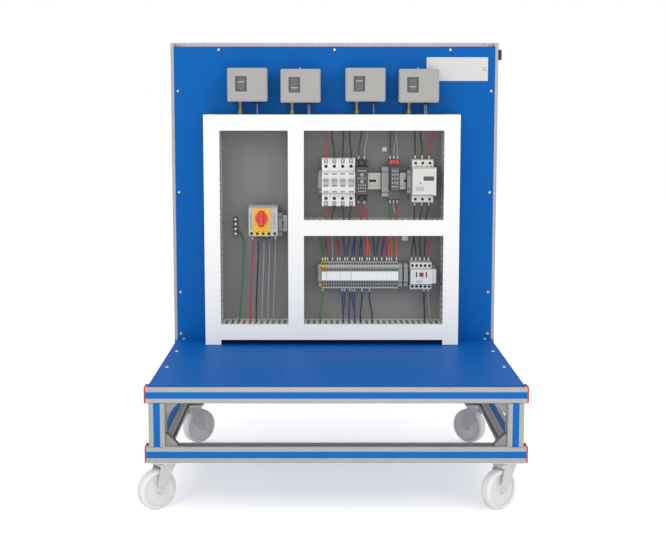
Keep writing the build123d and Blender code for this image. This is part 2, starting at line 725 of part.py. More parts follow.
outer_ducts = [
    upright_duct(duct(UPRIGHT_LENGTH, [], open_uprights), LEFT_DUCT_X, CABINET_BASE),
    upright_duct(duct(UPRIGHT_LENGTH, right_uprights, []), RIGHT_DUCT_X, CABINET_BASE),
    level_duct(duct(LEVEL_LENGTH, [], open_levels), LEVEL_LOW, TOP_DUCT_Z) - cable_holes(),
    level_duct(duct(LEVEL_LENGTH, open_levels, []), LEVEL_LOW, BOTTOM_DUCT_Z),
]
inner_ducts = [
    upright_duct(duct(CENTRE_LENGTH, centre_slots, right_centres), CENTRE_DUCT_X, CENTRE_LOW),
    level_duct(duct(CROSS_LENGTH, cross_slots, cross_slots), CROSS_LOW, CROSS_DUCT_Z),
]
lids = [
    upright_duct(lid(UPRIGHT_LENGTH), LEFT_DUCT_X, CABINET_BASE),
    upright_duct(lid(UPRIGHT_LENGTH), RIGHT_DUCT_X, CABINET_BASE),
    level_duct(lid(LEVEL_LENGTH), LEVEL_LOW, TOP_DUCT_Z),
    level_duct(lid(LEVEL_LENGTH), LEVEL_LOW, BOTTOM_DUCT_Z),
    upright_duct(lid(CENTRE_LENGTH), CENTRE_DUCT_X, CENTRE_LOW),
    level_duct(lid(CROSS_LENGTH), CROSS_LOW, CROSS_DUCT_Z),
]
save("wiring_ducts", group(outer_ducts + inner_ducts))
save("duct_lids", group(lids))


def terminal_wells(body, xs, z, front):
    """Screw wells in a device's face, one at each x."""
    well = Rot(90, 0, 0) * extrude(RegularPolygon(WELL_RADIUS, 6), WELL_DEPTH, both=True)
    for x in xs:
        body -= Pos(x, front, z) * well
    return body


def stepped_device(x_low, x_high, z_mid, height, body_depth, nose_depth, nose_height):
    """A rail-mounted device: full-height body with a raised nose, seated on the rail's face."""
    half = height / 2
    nose = nose_height / 2
    bevel = CASE_BEVEL
    points = [
        (0, half),
        (body_depth - bevel, half),
        (body_depth, half - bevel),
        (body_depth, nose + bevel),
        (nose_depth, nose - bevel),
        (nose_depth, -nose + bevel),
        (body_depth, -nose - bevel),
        (body_depth, -half + bevel),
        (body_depth - bevel, -half),
        (0, -half),
    ]
    return side_prism([(RAIL_FRONT - d, z_mid + z) for d, z in points], x_low, x_high)


# Four single-pole breakers, each with its own toggle
TOGGLE_Y = RAIL_FRONT - BREAKER_NOSE_DEPTH + TOGGLE_INSET
BREAKER_XS = [BREAKER_FIRST_X + i * BREAKER_PITCH for i in range(BREAKER_COUNT)]
BREAKER_FACE = RAIL_FRONT - BREAKER_BODY_DEPTH
CLAMP_LEVEL = BREAKER_HEIGHT / 2 - CLAMP_MOUTH_HEIGHT
breakers = []
for number, x in enumerate(BREAKER_XS, start=1):
    body = stepped_device(
        x - BREAKER_WIDTH / 2,
        x + BREAKER_WIDTH / 2,
        UPPER_RAIL_Z,
        BREAKER_HEIGHT,
        BREAKER_BODY_DEPTH,
        BREAKER_NOSE_DEPTH,
        BREAKER_NOSE_HEIGHT,
    )
    pocket = TOGGLE_RADIUS + TOGGLE_CLEARANCE
    pocket_width = TOGGLE_WIDTH + 2 * TOGGLE_CLEARANCE
    slot = extrude(RegularPolygon(pocket, 16, major_radius=False), pocket_width / 2, both=True)
    body -= Pos(x, TOGGLE_Y, UPPER_RAIL_Z) * Rot(0, 90, 0) * slot
    for end in (-1, 1):
        low, high = sorted((UPPER_RAIL_Z + end * BREAKER_HEIGHT, UPPER_RAIL_Z + end * CLAMP_LEVEL))
        body -= block(
            (x - CLAMP_MOUTH / 2, BREAKER_FACE - 1, low),
            (x + CLAMP_MOUTH / 2, BREAKER_FACE + CLAMP_MOUTH_DEPTH, high),
        )
        well_z = UPPER_RAIL_Z + end * (BREAKER_HEIGHT / 2 - BREAKER_WELL_INSET)
        body = terminal_wells(body, [x], well_z, BREAKER_FACE)
    breakers.append(body)
    drum = extrude(RegularPolygon(TOGGLE_RADIUS, 12), TOGGLE_WIDTH / 2, both=True)
    lever = block((0, -TOGGLE_THICK / 2, -TOGGLE_WIDTH / 2), (TOGGLE_REACH, TOGGLE_THICK / 2, TOGGLE_WIDTH / 2))
    toggle = Rot(0, 90, 0) * Rot(0, 0, -90 - TOGGLE_TILT) * (drum + lever)
    save("breaker_toggle_%d" % number, Pos(x, TOGGLE_Y, UPPER_RAIL_Z) * toggle)
save("breaker_bodies", group(breakers))

# Main switch: grey body, yellow faceplate and red handle
switch_front = RAIL_FRONT - SWITCH_DEPTH
switch_low = SWITCH_X - SWITCH_WIDTH / 2
switch_high = SWITCH_X + SWITCH_WIDTH / 2
switch_z = LEFT_RAIL_Z + SWITCH_RAISE
switch_body = stepped_device(
    switch_low, switch_high, switch_z, SWITCH_HEIGHT, SWITCH_DEPTH - SWITCH_STEP, SWITCH_DEPTH, SWITCH_NOSE_HEIGHT
)
HANDLE_X = SWITCH_X + HANDLE_OFFSET
HANDLE_Z = LEFT_RAIL_Z + HANDLE_RAISE
plate_z = switch_z + SWITCH_PLATE_RAISE
face_plate = block(
    (HANDLE_X - SWITCH_PLATE_WIDTH / 2, switch_front - FACEPLATE_THICK, plate_z - SWITCH_PLATE_HEIGHT / 2),
    (HANDLE_X + SWITCH_PLATE_WIDTH / 2, switch_front, plate_z + SWITCH_PLATE_HEIGHT / 2),
)
shaft_hole = Pos(HANDLE_X, switch_front, HANDLE_Z) * Rot(90, 0, 0)
shaft_hole *= Cylinder(HANDLE_SHAFT + HANDLE_SHAFT_CLEARANCE, 2 * HANDLE_SHAFT_DEPTH)
switch_body -= shaft_hole
face_plate -= shaft_hole
pole_pitch = (SWITCH_WIDTH - 2 * SWITCH_POLE_INSET) / (SWITCH_POLES - 1)
switch_poles = [switch_low + SWITCH_POLE_INSET + i * pole_pitch for i in range(SWITCH_POLES)]
switch_well_z = switch_z - SWITCH_HEIGHT / 2 + SWITCH_WELL_INSET
save("main_switch_body", terminal_wells(switch_body, switch_poles, switch_well_z, switch_front))
save("main_switch_faceplate", face_plate)
handle_back = switch_front - FACEPLATE_THICK - HANDLE_GAP
handle = extrude(RegularPolygon(HANDLE_RADIUS, 24), HANDLE_FLANGE)
grip = Pos(0, 0, HANDLE_DEPTH / 2) * Box(HANDLE_GRIP, HANDLE_GRIP_LENGTH, HANDLE_DEPTH)
grip = chamfer(grip.edges().group_by(Axis.Z)[-1], CASE_BEVEL)
handle = handle + grip + Pos(0, 0, -HANDLE_SHAFT_DEPTH / 2) * Cylinder(HANDLE_SHAFT, HANDLE_SHAFT_DEPTH)
save("main_switch_handle", Pos(HANDLE_X, handle_back, HANDLE_Z) * Rot(90, 0, 0) * handle)

# Timer relay
relay_z = UPPER_RAIL_Z + RELAY_RAISE
relay_ends = (relay_z - RELAY_HEIGHT / 2, relay_z + RELAY_HEIGHT / 2)
timer_xs = (TIMER_X - TIMER_WIDTH / 4, TIMER_X + TIMER_WIDTH / 4)
timer = stepped_device(
    TIMER_X - TIMER_WIDTH / 2,
    TIMER_X + TIMER_WIDTH / 2,
    relay_z,
    RELAY_HEIGHT,
    TIMER_DEPTH - TIMER_STEP,
    TIMER_DEPTH,
    TIMER_NOSE_HEIGHT,
)
for well_z in (relay_ends[0] + RELAY_WELL_INSET, relay_ends[1] - RELAY_WELL_INSET):
    timer = terminal_wells(timer, timer_xs, well_z, RAIL_FRONT - TIMER_DEPTH + TIMER_STEP)
save("timer_relay", timer)

# Control relay in its plug-in base
relay_base = stepped_device(
    RELAY_X - RELAY_WIDTH / 2,
    RELAY_X + RELAY_WIDTH / 2,
    relay_z,
    RELAY_HEIGHT,
    RELAY_BASE_DEPTH,
    RELAY_SEAT_DEPTH,
    RELAY_SEAT_HEIGHT,
)
case_z = relay_z + RELAY_CASE_RAISE
relay_case = block(
    (RELAY_X - RELAY_CASE_WIDTH / 2, RAIL_FRONT - RELAY_CASE_DEPTH, case_z - RELAY_CASE_HEIGHT / 2),
    (RELAY_X + RELAY_CASE_WIDTH / 2, RAIL_FRONT - RELAY_SEAT_DEPTH, case_z + RELAY_CASE_HEIGHT / 2),
)
relay_case = chamfer(relay_case.faces().sort_by(Axis.Y)[0].edges(), CASE_BEVEL)
save("control_relay", group([relay_base, relay_case]))

# Motor starter with its side module and the window of its setting dial
starter_z = UPPER_RAIL_Z + STARTER_RAISE
starter_ends = (starter_z - STARTER_HEIGHT / 2, starter_z + STARTER_HEIGHT / 2)
starter_front = RAIL_FRONT - STARTER_DEPTH
starter_low = STARTER_X - STARTER_WIDTH / 2
starter_high = STARTER_X + STARTER_WIDTH / 2
starter = stepped_device(
    starter_low,
    starter_high,
    starter_z,
    STARTER_HEIGHT,
    STARTER_DEPTH - STARTER_STEP,
    STARTER_DEPTH,
    STARTER_NOSE_HEIGHT,
)
starter += block(
    (starter_high, starter_front, starter_z - STARTER_NOSE_HEIGHT / 2),
    (starter_high + STARTER_SIDE_WIDTH, starter_front + STARTER_SIDE_DEPTH, starter_z + STARTER_NOSE_HEIGHT / 2),
)
window = Box(STARTER_WINDOW[0], 2 * STARTER_WINDOW[2], STARTER_WINDOW[1])
starter -= Pos(STARTER_X + STARTER_WINDOW_OFFSET[0], starter_front, starter_z + STARTER_WINDOW_OFFSET[1]) * window
starter_xs = [STARTER_X + i * STARTER_POLE_PITCH for i in (-1, 0, 1)]
for well_z in (starter_ends[0] + STARTER_WELL_INSET, starter_ends[1] - STARTER_WELL_INSET):
    starter = terminal_wells(starter, starter_xs, well_z, starter_front + STARTER_STEP)
save("motor_starter", starter)

# Contactor with its auxiliary contact block and the plunger that shows its state
contactor_z = LOWER_RAIL_CENTRE_Z + CONTACTOR_RAISE
contactor_ends = (contactor_z - CONTACTOR_HEIGHT / 2, contactor_z + CONTACTOR_HEIGHT / 2)
contactor_front = RAIL_FRONT - CONTACTOR_DEPTH
contactor_high = CONTACTOR_X + CONTACTOR_WIDTH / 2
contactor = stepped_device(
    CONTACTOR_X - CONTACTOR_WIDTH / 2,
    contactor_high,
    contactor_z,
    CONTACTOR_HEIGHT,
    CONTACTOR_DEPTH - CONTACTOR_STEP,
    CONTACTOR_DEPTH,
    CONTACTOR_NOSE_HEIGHT,
)
contactor_xs = [CONTACTOR_X + (i - (CONTACTOR_POLES - 1) / 2) * CONTACTOR_POLE_PITCH for i in range(CONTACTOR_POLES)]
for well_z in (contactor_ends[0] + CONTACTOR_WELL_INSET, contactor_ends[1] - CONTACTOR_WELL_INSET):
    contactor = terminal_wells(contactor, contactor_xs, well_z, contactor_front + CONTACTOR_STEP)
plunger_z = contactor_z + PLUNGER_RAISE
hole_size = PLUNGER_SIZE + 2 * PLUNGER_CLEARANCE
contactor -= Pos(CONTACTOR_X, contactor_front, plunger_z) * Box(hole_size, 2 * PLUNGER_HOLE_DEPTH, hole_size)
aux = block(
    (contactor_high, RAIL_FRONT - AUX_DEPTHS[1], contactor_z - AUX_HEIGHT / 2),
    (contactor_high + AUX_WIDTH, RAIL_FRONT - AUX_DEPTHS[0], contactor_z + AUX_HEIGHT / 2),
)
save("contactor", group([contactor, aux]))
plunger_end = contactor_front + PLUNGER_HOLE_DEPTH - PLUNGER_TRAVEL - PLUNGER_CLEARANCE
save(
    "contactor_plunger",
    block(
        (CONTACTOR_X - PLUNGER_SIZE / 2, contactor_front - PLUNGER_PROUD, plunger_z - PLUNGER_SIZE / 2),
        (CONTACTOR_X + PLUNGER_SIZE / 2, plunger_end, plunger_z + PLUNGER_SIZE / 2),
    ),
)


# Rail terminals with their marker strips and end clamps
def terminal(index):
    low = STRIP_LEFT_X + index * TERMINAL_PITCH
    return stepped_device(
        low,
        low + TERMINAL_PITCH - TERMINAL_GAP,
        LOWER_RAIL_CENTRE_Z,
        TERMINAL_HEIGHT,
        TERMINAL_STEP_DEPTH,
        TERMINAL_DEPTH,
        TERMINAL_NOSE_HEIGHT,
    )


save("terminal_blocks", group([terminal(i) for i in range(TERMINAL_COUNT)]))
save("earth_terminals", group([terminal(-i - 1) for i in range(EARTH_COUNT)]))
STRIP_LOW = STRIP_LEFT_X - EARTH_COUNT * TERMINAL_PITCH
STRIP_HIGH = STRIP_LEFT_X + TERMINAL_COUNT * TERMINAL_PITCH
marker_ends = [STRIP_LOW, STRIP_LEFT_X] + [STRIP_LEFT_X + x for x in MARKER_BREAKS] + [STRIP_HIGH]
markers = []
for low, high in zip(marker_ends, marker_ends[1:]):
    markers.append(
        block(
            (low + MARKER_GAP, RAIL_FRONT - TERMINAL_DEPTH - MARKER_THICK, LOWER_RAIL_CENTRE_Z - MARKER_HEIGHT / 2),
            (high - MARKER_GAP, RAIL_FRONT - TERMINAL_DEPTH, LOWER_RAIL_CENTRE_Z + MARKER_HEIGHT / 2),
        )
    )
save("marker_strips", group(markers))

breakers_low = BREAKER_XS[0] - BREAKER_WIDTH / 2
relay_low = RELAY_X - RELAY_WIDTH / 2
strip_clamp_low = STRIP_LOW - CLAMP_GAP - STRIP_CLAMP_WIDTH
breaker_clamp_low = breakers_low - CLAMP_GAP - STRIP_CLAMP_WIDTH
starter_clamp_low = starter_low - CLAMP_GAP - CLAMP_WIDTH
CLAMPS = (
    (strip_clamp_low, STRIP_CLAMP_WIDTH, LOWER_RAIL_CENTRE_Z, CLAMP_HEIGHT),
    (STRIP_HIGH, CLAMP_WIDTH, LOWER_RAIL_CENTRE_Z, CLAMP_HEIGHT),
    (STRIP_HIGH + CLAMP_SPACING, CLAMP_WIDTH, LOWER_RAIL_CENTRE_Z, CLAMP_HEIGHT),
    (breaker_clamp_low, STRIP_CLAMP_WIDTH, UPPER_RAIL_Z, CLAMP_HEIGHT),
    (relay_low - CLAMP_GAP - RELAY_CLAMP_WIDTH, RELAY_CLAMP_WIDTH, UPPER_RAIL_Z, RELAY_CLAMP_HEIGHT),
    (starter_clamp_low, CLAMP_WIDTH, UPPER_RAIL_Z, CLAMP_HEIGHT),
    (switch_high + CLAMP_GAP, CLAMP_WIDTH, LEFT_RAIL_Z, CLAMP_HEIGHT),
)
clamps = []
for low, width, z, height in CLAMPS:
    nose = height - CLAMP_SHOULDER
    clamps.append(stepped_device(low, low + width, z, height, CLAMP_STEP_DEPTH, CLAMP_DEPTH, nose))
save("end_clamps", group(clamps))


# Top-hat mounting rails, cut a little longer than the devices they carry
def hat_rail(x_low, x_high, z):
    half = RAIL_HEIGHT / 2
    hat = RAIL_TOP_HAT / 2
    front = RAIL_FRONT
    back = PLATE_FRONT
    wall = RAIL_WALL
    outline = [
        (front, half),
        (front, hat - wall),
        (back - wall, hat - wall),
        (back - wall, -hat + wall),
        (front, -hat + wall),
        (front, -half),
        (front + wall, -half),
        (front + wall, -hat),
        (back, -hat),
        (back, hat),
        (front + wall, hat),
        (front + wall, half),
    ]
    return side_prism([(y, z + dz) for y, dz in outline], x_low, x_high)


starter_side_high = starter_high + STARTER_SIDE_WIDTH
contactor_side_high = contactor_high + AUX_WIDTH
centre_duct_low = CENTRE_DUCT_X - DUCT_WIDTH / 2
save(
    "device_rails",
    group(
        [
            hat_rail(breaker_clamp_low - RAIL_OVERHANG, starter_side_high + RAIL_OVERHANG, UPPER_RAIL_Z),
            hat_rail(strip_clamp_low - RAIL_OVERHANG, contactor_side_high + RAIL_OVERHANG, LOWER_RAIL_CENTRE_Z),
            hat_rail(switch_low - RAIL_OVERHANG, centre_duct_low - RAIL_END_GAP, LEFT_RAIL_Z),
        ]
    ),
)

# Earth bar on the backplate, its studs in a row
bar = block((BAR_X - BAR_WIDTH / 2, PLATE_FRONT - BAR_DEPTH, BAR_LEVELS[0]), (BAR_X + BAR_WIDTH / 2, PLATE_FRONT, BAR_LEVELS[1]))
first_stud = (BAR_LEVELS[0] + BAR_LEVELS[1] - (STUD_COUNT - 1) * STUD_PITCH) / 2
stud = Rot(90, 0, 0) * extrude(RegularPolygon(STUD_RADIUS, 6), STUD_THICK)
for i in range(STUD_COUNT):
    bar += Pos(BAR_X, PLATE_FRONT - BAR_DEPTH, first_stud + i * STUD_PITCH) * stud
save("earth_bar", bar)

# Pressure switches: housing, cover with its window, scale, fitting, gland and setting spindle
housing_back = PANEL_FRONT - SWITCH_SPACER
housing_front = housing_back - HOUSING_DEPTH
cover_front = housing_front - COVER_DEPTH
housings = []
covers = []
scales = []
fittings = []
glands = []
gland_ends = []
spindle_number = 0
for index, (x, rise) in enumerate(zip(PRESSURE_XS, PRESSURE_RISES)):
    top = CABINET_TOP + rise
    half = COVER_WIDTH / 2
    bottom = top - COVER_HEIGHT
    middle = top - COVER_HEIGHT / 2
    inset = HOUSING_INSET
    foot_x = x + FOOT_OFFSET
    foot = block(
        (foot_x - FOOT_SIZE[0] / 2, housing_back, middle - FOOT_SIZE[1] / 2),
        (foot_x + FOOT_SIZE[0] / 2, PANEL_FRONT, middle + FOOT_SIZE[1] / 2),
    )
    case = block((x - half + inset, housing_front, bottom + inset), (x + half - inset, housing_back, top - inset))
    housings.append(foot + case)
    cover = block((x - half, cover_front, bottom), (x + half, housing_front, top))
    cover = chamfer(cover.edges().filter_by(Axis.Y), COVER_CORNER)
    cover = chamfer(cover.faces().sort_by(Axis.Y)[0].edges(), COVER_BEVEL)
    window_place = Pos(x - half + WINDOW_INSET + WINDOW_WIDTH / 2, 0, top - WINDOW_INSET - WINDOW_HEIGHT / 2)
    covers.append(cover - window_place * Pos(0, cover_front, 0) * Box(WINDOW_WIDTH, 2 * WINDOW_DEPTH, WINDOW_HEIGHT))
    dial = Box(WINDOW_WIDTH - 2 * SCALE_GAP, SCALE_THICK, WINDOW_HEIGHT - 2 * SCALE_GAP)
    scales.append(window_place * Pos(0, cover_front + WINDOW_DEPTH - SCALE_THICK / 2, 0) * dial)

    seat = bottom + inset
    place = Pos(x + FITTING_OFFSETS[index % 2], FITTING_Y, 0)
    nut = Pos(0, 0, seat - FITTING_NUT_HEIGHT) * extrude(RegularPolygon(FITTING_NUT_RADIUS, 6), FITTING_NUT_HEIGHT)
    stem_low = CABINET_TOP + FITTING_END_GAP
    stem = Pos(0, 0, stem_low) * extrude(RegularPolygon(STEM_RADIUS, 10), seat - FITTING_NUT_HEIGHT - stem_low)
    flare = Pos(0, 0, stem_low) * extrude(RegularPolygon(FLARE_RADIUS, 6), FLARE_HEIGHT)
    fittings.append(place * (nut + stem + flare))
    gland = extrude(RegularPolygon(GLAND_TOP_RADIUS, 8), -GLAND_HEIGHT)
    gland = chamfer(gland.faces().sort_by(Axis.Z)[0].edges(), GLAND_BEVEL)
    glands.append(Pos(GLAND_XS[index], FITTING_Y, seat) * gland)
    gland_ends.append((GLAND_XS[index], seat - GLAND_HEIGHT, index % 2 + 1))
    if index % 2 == 1:
        spindle_number += 1
        spindle = Pos(0, 0, SPINDLE_HEIGHT / 2) * Cylinder(SPINDLE_RADIUS, SPINDLE_HEIGHT)
        spindle -= Pos(0, 0, SPINDLE_HEIGHT) * Box(3 * SPINDLE_RADIUS, SPINDLE_SLOT, 2 * SPINDLE_SLOT_DEPTH)
        spindle_place = Pos(x + SPINDLE_OFFSET, housing_front - SPINDLE_SETBACK, top)
        save("setting_spindle_%d" % spindle_number, spindle_place * spindle)
save("pressure_switch_housings", group(housings))
save("pressure_switch_covers", group(covers))
save("pressure_switch_scales", group(scales))
save("pressure_switch_fittings", group(fittings))
save("pressure_switch_glands", group(glands))

# Leads: each leaves a ferrule at its terminal, bends to the nearest slot of a duct and ends inside it
leads = {colour: [] for colour in ("green", "red", "black", "grey", "blue", "orange")}
radii_by_colour = {colour: [] for colour in leads}
ferrules = []
leads_in_slot = {}
volume_errors = []


def run_lead(colour, points):
    """Straight runs joined by tangent arcs, each as large as its two runs allow."""
    radii = []
    for before, here, after in zip(points, points[1:], points[2:]):
        run_in = Vector(*here) - Vector(*before)
        run_out = Vector(*after) - Vector(*here)
        half_turn = math.radians(run_in.get_angle(run_out)) / 2
        radii.append(LEAD_ARC_SHARE * min(run_in.length, run_out.length) / math.tan(half_turn))
    path = FilletPolyline(*points, radius=radii)
    section = Plane(origin=path @ 0, z_dir=path % 0) * RegularPolygon(LEAD_RADIUS, 4)
    solid = sweep(section, path)
    volume_errors.append(abs(solid.volume / (section.area * path.length) - 1))
    leads[colour].append(solid)
    radii_by_colour[colour].extend(radii)


def lead_to_slot(colour, x, y, z, wall_z, slots):
    """From a terminal's end face at z, up or down, into the nearest slot of the duct wall at wall_z."""
    way = 1 if wall_z > z else -1
    ferrule = extrude(RegularPolygon(FERRULE_RADIUS, 4), way * FERRULE_LENGTH)
    ferrules.append(Pos(x, y, z) * ferrule)
    slot_x = min(slots, key=lambda slot: abs(slot - x))
    layer = leads_in_slot.get((slot_x, wall_z), 0)
    leads_in_slot[slot_x, wall_z] = layer + 1
    slot_y = min(y, PLATE_FRONT - DUCT_ROOT) - LEAD_SWAY - layer * LEAD_LAYER
    start = z + way * FERRULE_LENGTH
    gap = abs(wall_z - start)
    end_run = min(LEAD_END_SHARE * gap, LEAD_END_RUN)
    steps = max(1, round((gap - 2 * end_run) / LEAD_MID_RUN))
    points = [(x, y, start)]
    for i in range(steps + 1):
        share = i / steps
        blend = share * share * (3 - 2 * share)
        bow = LEAD_BOW * math.sin(math.pi * share)
        level = start + way * (end_run + share * (gap - 2 * end_run))
        points.append((x + (slot_x - x) * blend, y + (slot_y - y) * blend - bow, level))
    points.append((slot_x, slot_y, wall_z + way * LEAD_TAIL))
    run_lead(colour, points)


level_slot_xs = [LEVEL_LOW + s for s in open_levels]
cross_slot_xs = [CROSS_LOW + s for s in cross_slots]
TO_TOP = (TOP_DUCT_Z - DUCT_WIDTH / 2, level_slot_xs)
TO_CROSS_TOP = (CROSS_DUCT_Z + DUCT_WIDTH / 2, cross_slot_xs)
TO_CROSS_LOW = (CROSS_DUCT_Z - DUCT_WIDTH / 2, cross_slot_xs)
TO_BOTTOM = (BOTTOM_DUCT_Z + DUCT_WIDTH / 2, level_slot_xs)

breaker_y = BREAKER_FACE + CLAMP_MOUTH_DEPTH / 2
timer_y = RAIL_FRONT - (TIMER_DEPTH - TIMER_STEP) / 2
relay_y = RAIL_FRONT - RELAY_BASE_DEPTH / 2
starter_y = RAIL_FRONT - (STARTER_DEPTH - STARTER_STEP) * 5 / 8
contactor_y = RAIL_FRONT - (CONTACTOR_DEPTH - CONTACTOR_STEP) / 2
terminal_y = RAIL_FRONT - TERMINAL_STEP_DEPTH / 2
for colour, x in zip(("red", "black", "black", "black"), BREAKER_XS):
    lead_to_slot(colour, x, breaker_y, UPPER_RAIL_Z + CLAMP_LEVEL, *TO_TOP)
    lead_to_slot(colour, x, breaker_y, UPPER_RAIL_Z - CLAMP_LEVEL, *TO_CROSS_TOP)
for colour, low_colour, x in zip(("blue", "grey"), ("red", "red"), timer_xs):
    lead_to_slot(colour, x, timer_y, relay_ends[1], *TO_TOP)
    lead_to_slot(low_colour, x, timer_y, relay_ends[0], *TO_CROSS_TOP)
for colour, low_colour, offset in (("blue", "green", -1), ("grey", "grey", 0), ("grey", "red", 1)):
    relay_lead_x = RELAY_X + offset * RELAY_WIDTH / 3
    lead_to_slot(colour, relay_lead_x, relay_y, relay_ends[1], *TO_TOP)
    lead_to_slot(low_colour, relay_lead_x, relay_y, relay_ends[0], *TO_CROSS_TOP)
for colour, x in zip(("black", "black", "red"), starter_xs):
    lead_to_slot(colour, x, starter_y, starter_ends[1], *TO_TOP)
    lead_to_slot("black", x, starter_y, starter_ends[0], *TO_CROSS_TOP)
for colour, x in zip(("black", "black", "black", "black", "red"), contactor_xs):
    lead_to_slot(colour, x, contactor_y, contactor_ends[1], *TO_CROSS_LOW)
for colour, x in zip(("black", "grey"), contactor_xs[-2:]):
    lead_to_slot(colour, x, contactor_y, contactor_ends[0], *TO_BOTTOM)
for table, end, wall in ((TERMINAL_TOP_LEADS, 1, TO_CROSS_LOW), (TERMINAL_LOW_LEADS, -1, TO_BOTTOM)):
    for colour, indices in table.items():
        for i in indices:
            terminal_x = STRIP_LEFT_X + i * TERMINAL_PITCH + (TERMINAL_PITCH - TERMINAL_GAP) / 2
            lead_to_slot(colour, terminal_x, terminal_y, LOWER_RAIL_CENTRE_Z + end * TERMINAL_HEIGHT / 2, *wall)
for colour, x in zip(("red", "black", "grey", "grey", "grey"), switch_poles):
    switch_y = RAIL_FRONT - (SWITCH_DEPTH - SWITCH_STEP) / 2
    lead_to_slot(colour, x, switch_y, switch_z - SWITCH_HEIGHT / 2, *TO_BOTTOM)
run_lead("green", [(BAR_X + x, PLATE_FRONT - BAR_DEPTH - depth, BAR_LEVELS[0] + z) for x, depth, z in EARTH_LEAD])
duct_top = TOP_DUCT_Z + DUCT_WIDTH / 2
for gland_x, gland_z, count in gland_ends:
    drop = gland_z - duct_top
    for i in range(count):
        lead_x = gland_x + (2 * i - count + 1) * GLAND_LEAD_SPREAD
        run_lead(
            "grey",
            [
                (lead_x, FITTING_Y, gland_z),
                (lead_x, FITTING_Y, gland_z - drop / 3),
                (lead_x + 1, FITTING_Y - 2, gland_z - drop),
                (lead_x + 1, FITTING_Y - 2, gland_z - drop - LEAD_TAIL),
            ],
        )
for colour, solids in leads.items():
    save(colour + "_leads", group(solids))
    print(colour, "lead radii", sorted(round(r, 1) for r in radii_by_colour[colour]))
save("lead_ferrules", group(ferrules))
print("largest lead volume error", round(max(volume_errors), 4))
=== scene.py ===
import json
import math
import bpy
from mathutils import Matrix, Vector


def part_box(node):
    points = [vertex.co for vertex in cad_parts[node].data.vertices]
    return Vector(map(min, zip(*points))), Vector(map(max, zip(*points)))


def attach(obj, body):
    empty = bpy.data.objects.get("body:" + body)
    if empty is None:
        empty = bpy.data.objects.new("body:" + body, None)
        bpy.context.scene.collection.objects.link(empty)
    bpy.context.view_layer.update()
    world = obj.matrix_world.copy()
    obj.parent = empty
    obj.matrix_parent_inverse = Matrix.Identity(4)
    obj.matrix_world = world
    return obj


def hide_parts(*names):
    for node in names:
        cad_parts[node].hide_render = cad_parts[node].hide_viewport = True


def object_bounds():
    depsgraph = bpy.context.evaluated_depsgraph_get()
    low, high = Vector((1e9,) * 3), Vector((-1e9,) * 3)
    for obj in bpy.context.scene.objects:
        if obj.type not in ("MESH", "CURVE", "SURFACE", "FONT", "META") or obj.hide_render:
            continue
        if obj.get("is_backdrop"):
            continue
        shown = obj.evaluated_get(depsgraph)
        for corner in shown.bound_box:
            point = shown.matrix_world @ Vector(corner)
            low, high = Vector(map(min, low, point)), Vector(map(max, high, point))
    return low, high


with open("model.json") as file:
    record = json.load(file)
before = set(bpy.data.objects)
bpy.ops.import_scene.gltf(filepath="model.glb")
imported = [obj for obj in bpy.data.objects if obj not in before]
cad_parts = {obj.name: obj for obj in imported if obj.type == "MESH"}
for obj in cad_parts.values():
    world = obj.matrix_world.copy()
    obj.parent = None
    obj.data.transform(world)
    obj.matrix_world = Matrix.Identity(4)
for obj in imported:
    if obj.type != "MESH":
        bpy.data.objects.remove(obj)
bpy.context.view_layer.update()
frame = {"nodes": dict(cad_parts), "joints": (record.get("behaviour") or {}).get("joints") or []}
nodes = frame["nodes"]

# The photograph's place for the eye: a little below the top of the panel, about 2.1 m in front of
# the shelf and a little left of the middle, looking slightly down.
PHOTO_WIDTH = 666
FOCAL_PIXELS = 1179
EYE = (-0.022, -2.335, 0.741)
LOOK_DOWN = 6.43
SHIFT_PIXELS = (8.8, -30)
SENSOR = 36.0
FARTHEST = 50
camera_data = bpy.data.cameras.new("photo_camera")
camera_data.sensor_width = SENSOR
camera_data.lens = FOCAL_PIXELS / PHOTO_WIDTH * SENSOR
camera_data.shift_x = SHIFT_PIXELS[0] / PHOTO_WIDTH
camera_data.shift_y = SHIFT_PIXELS[1] / PHOTO_WIDTH
camera_data.clip_end = FARTHEST
camera = bpy.data.objects.new("photo_camera", camera_data)
camera.location = EYE
camera.rotation_euler = (math.radians(90 - LOOK_DOWN), 0, 0)
bpy.context.scene.collection.objects.link(camera)
bpy.context.scene.camera = camera
bpy.context.scene.view_settings.view_transform = "Standard"


def linear(code):
    """An sRGB hex colour as the linear values that a shader takes."""
    values = []
    for i in (0, 2, 4):
        c = int(code[i : i + 2], 16) / 255
        values.append(c / 12.92 if c <= 0.04045 else ((c + 0.055) / 1.055) ** 2.4)
    return (*values, 1.0)


def add(tree, kind, inputs=None, **settings):
    """Adds a node; inputs holds socket values or the outputs to link to them."""
    node = tree.nodes.new(kind)
    for key, value in settings.items():
        setattr(node, key, value)
    for key, value in (inputs or {}).items():
        if isinstance(value, bpy.types.NodeSocket):
            tree.links.new(value, node.inputs[key])
        else:
            node.inputs[key].default_value = value
    return node


def worked(tree, operation, *values):
    """The result of a sum on numbers or outputs."""
    return add(tree, "ShaderNodeMath", dict(enumerate(values)), operation=operation).outputs[0]


def new_material(name, **values):
    """A material with its shader set, its tree and the position on the piece."""
    material = bpy.data.materials.new(name)
    material.use_nodes = True
    tree = material.node_tree
    tree.nodes.clear()
    shader = add(tree, "ShaderNodeBsdfPrincipled")
    for key, value in values.items():
        shader.inputs[key.replace("_", " ").title().replace("Ior", "IOR")].default_value = value
    out = add(tree, "ShaderNodeOutputMaterial")
    tree.links.new(shader.outputs[0], out.inputs[0])
    where = add(tree, "ShaderNodeTexCoord").outputs["Object"]
    return material, tree, shader, where


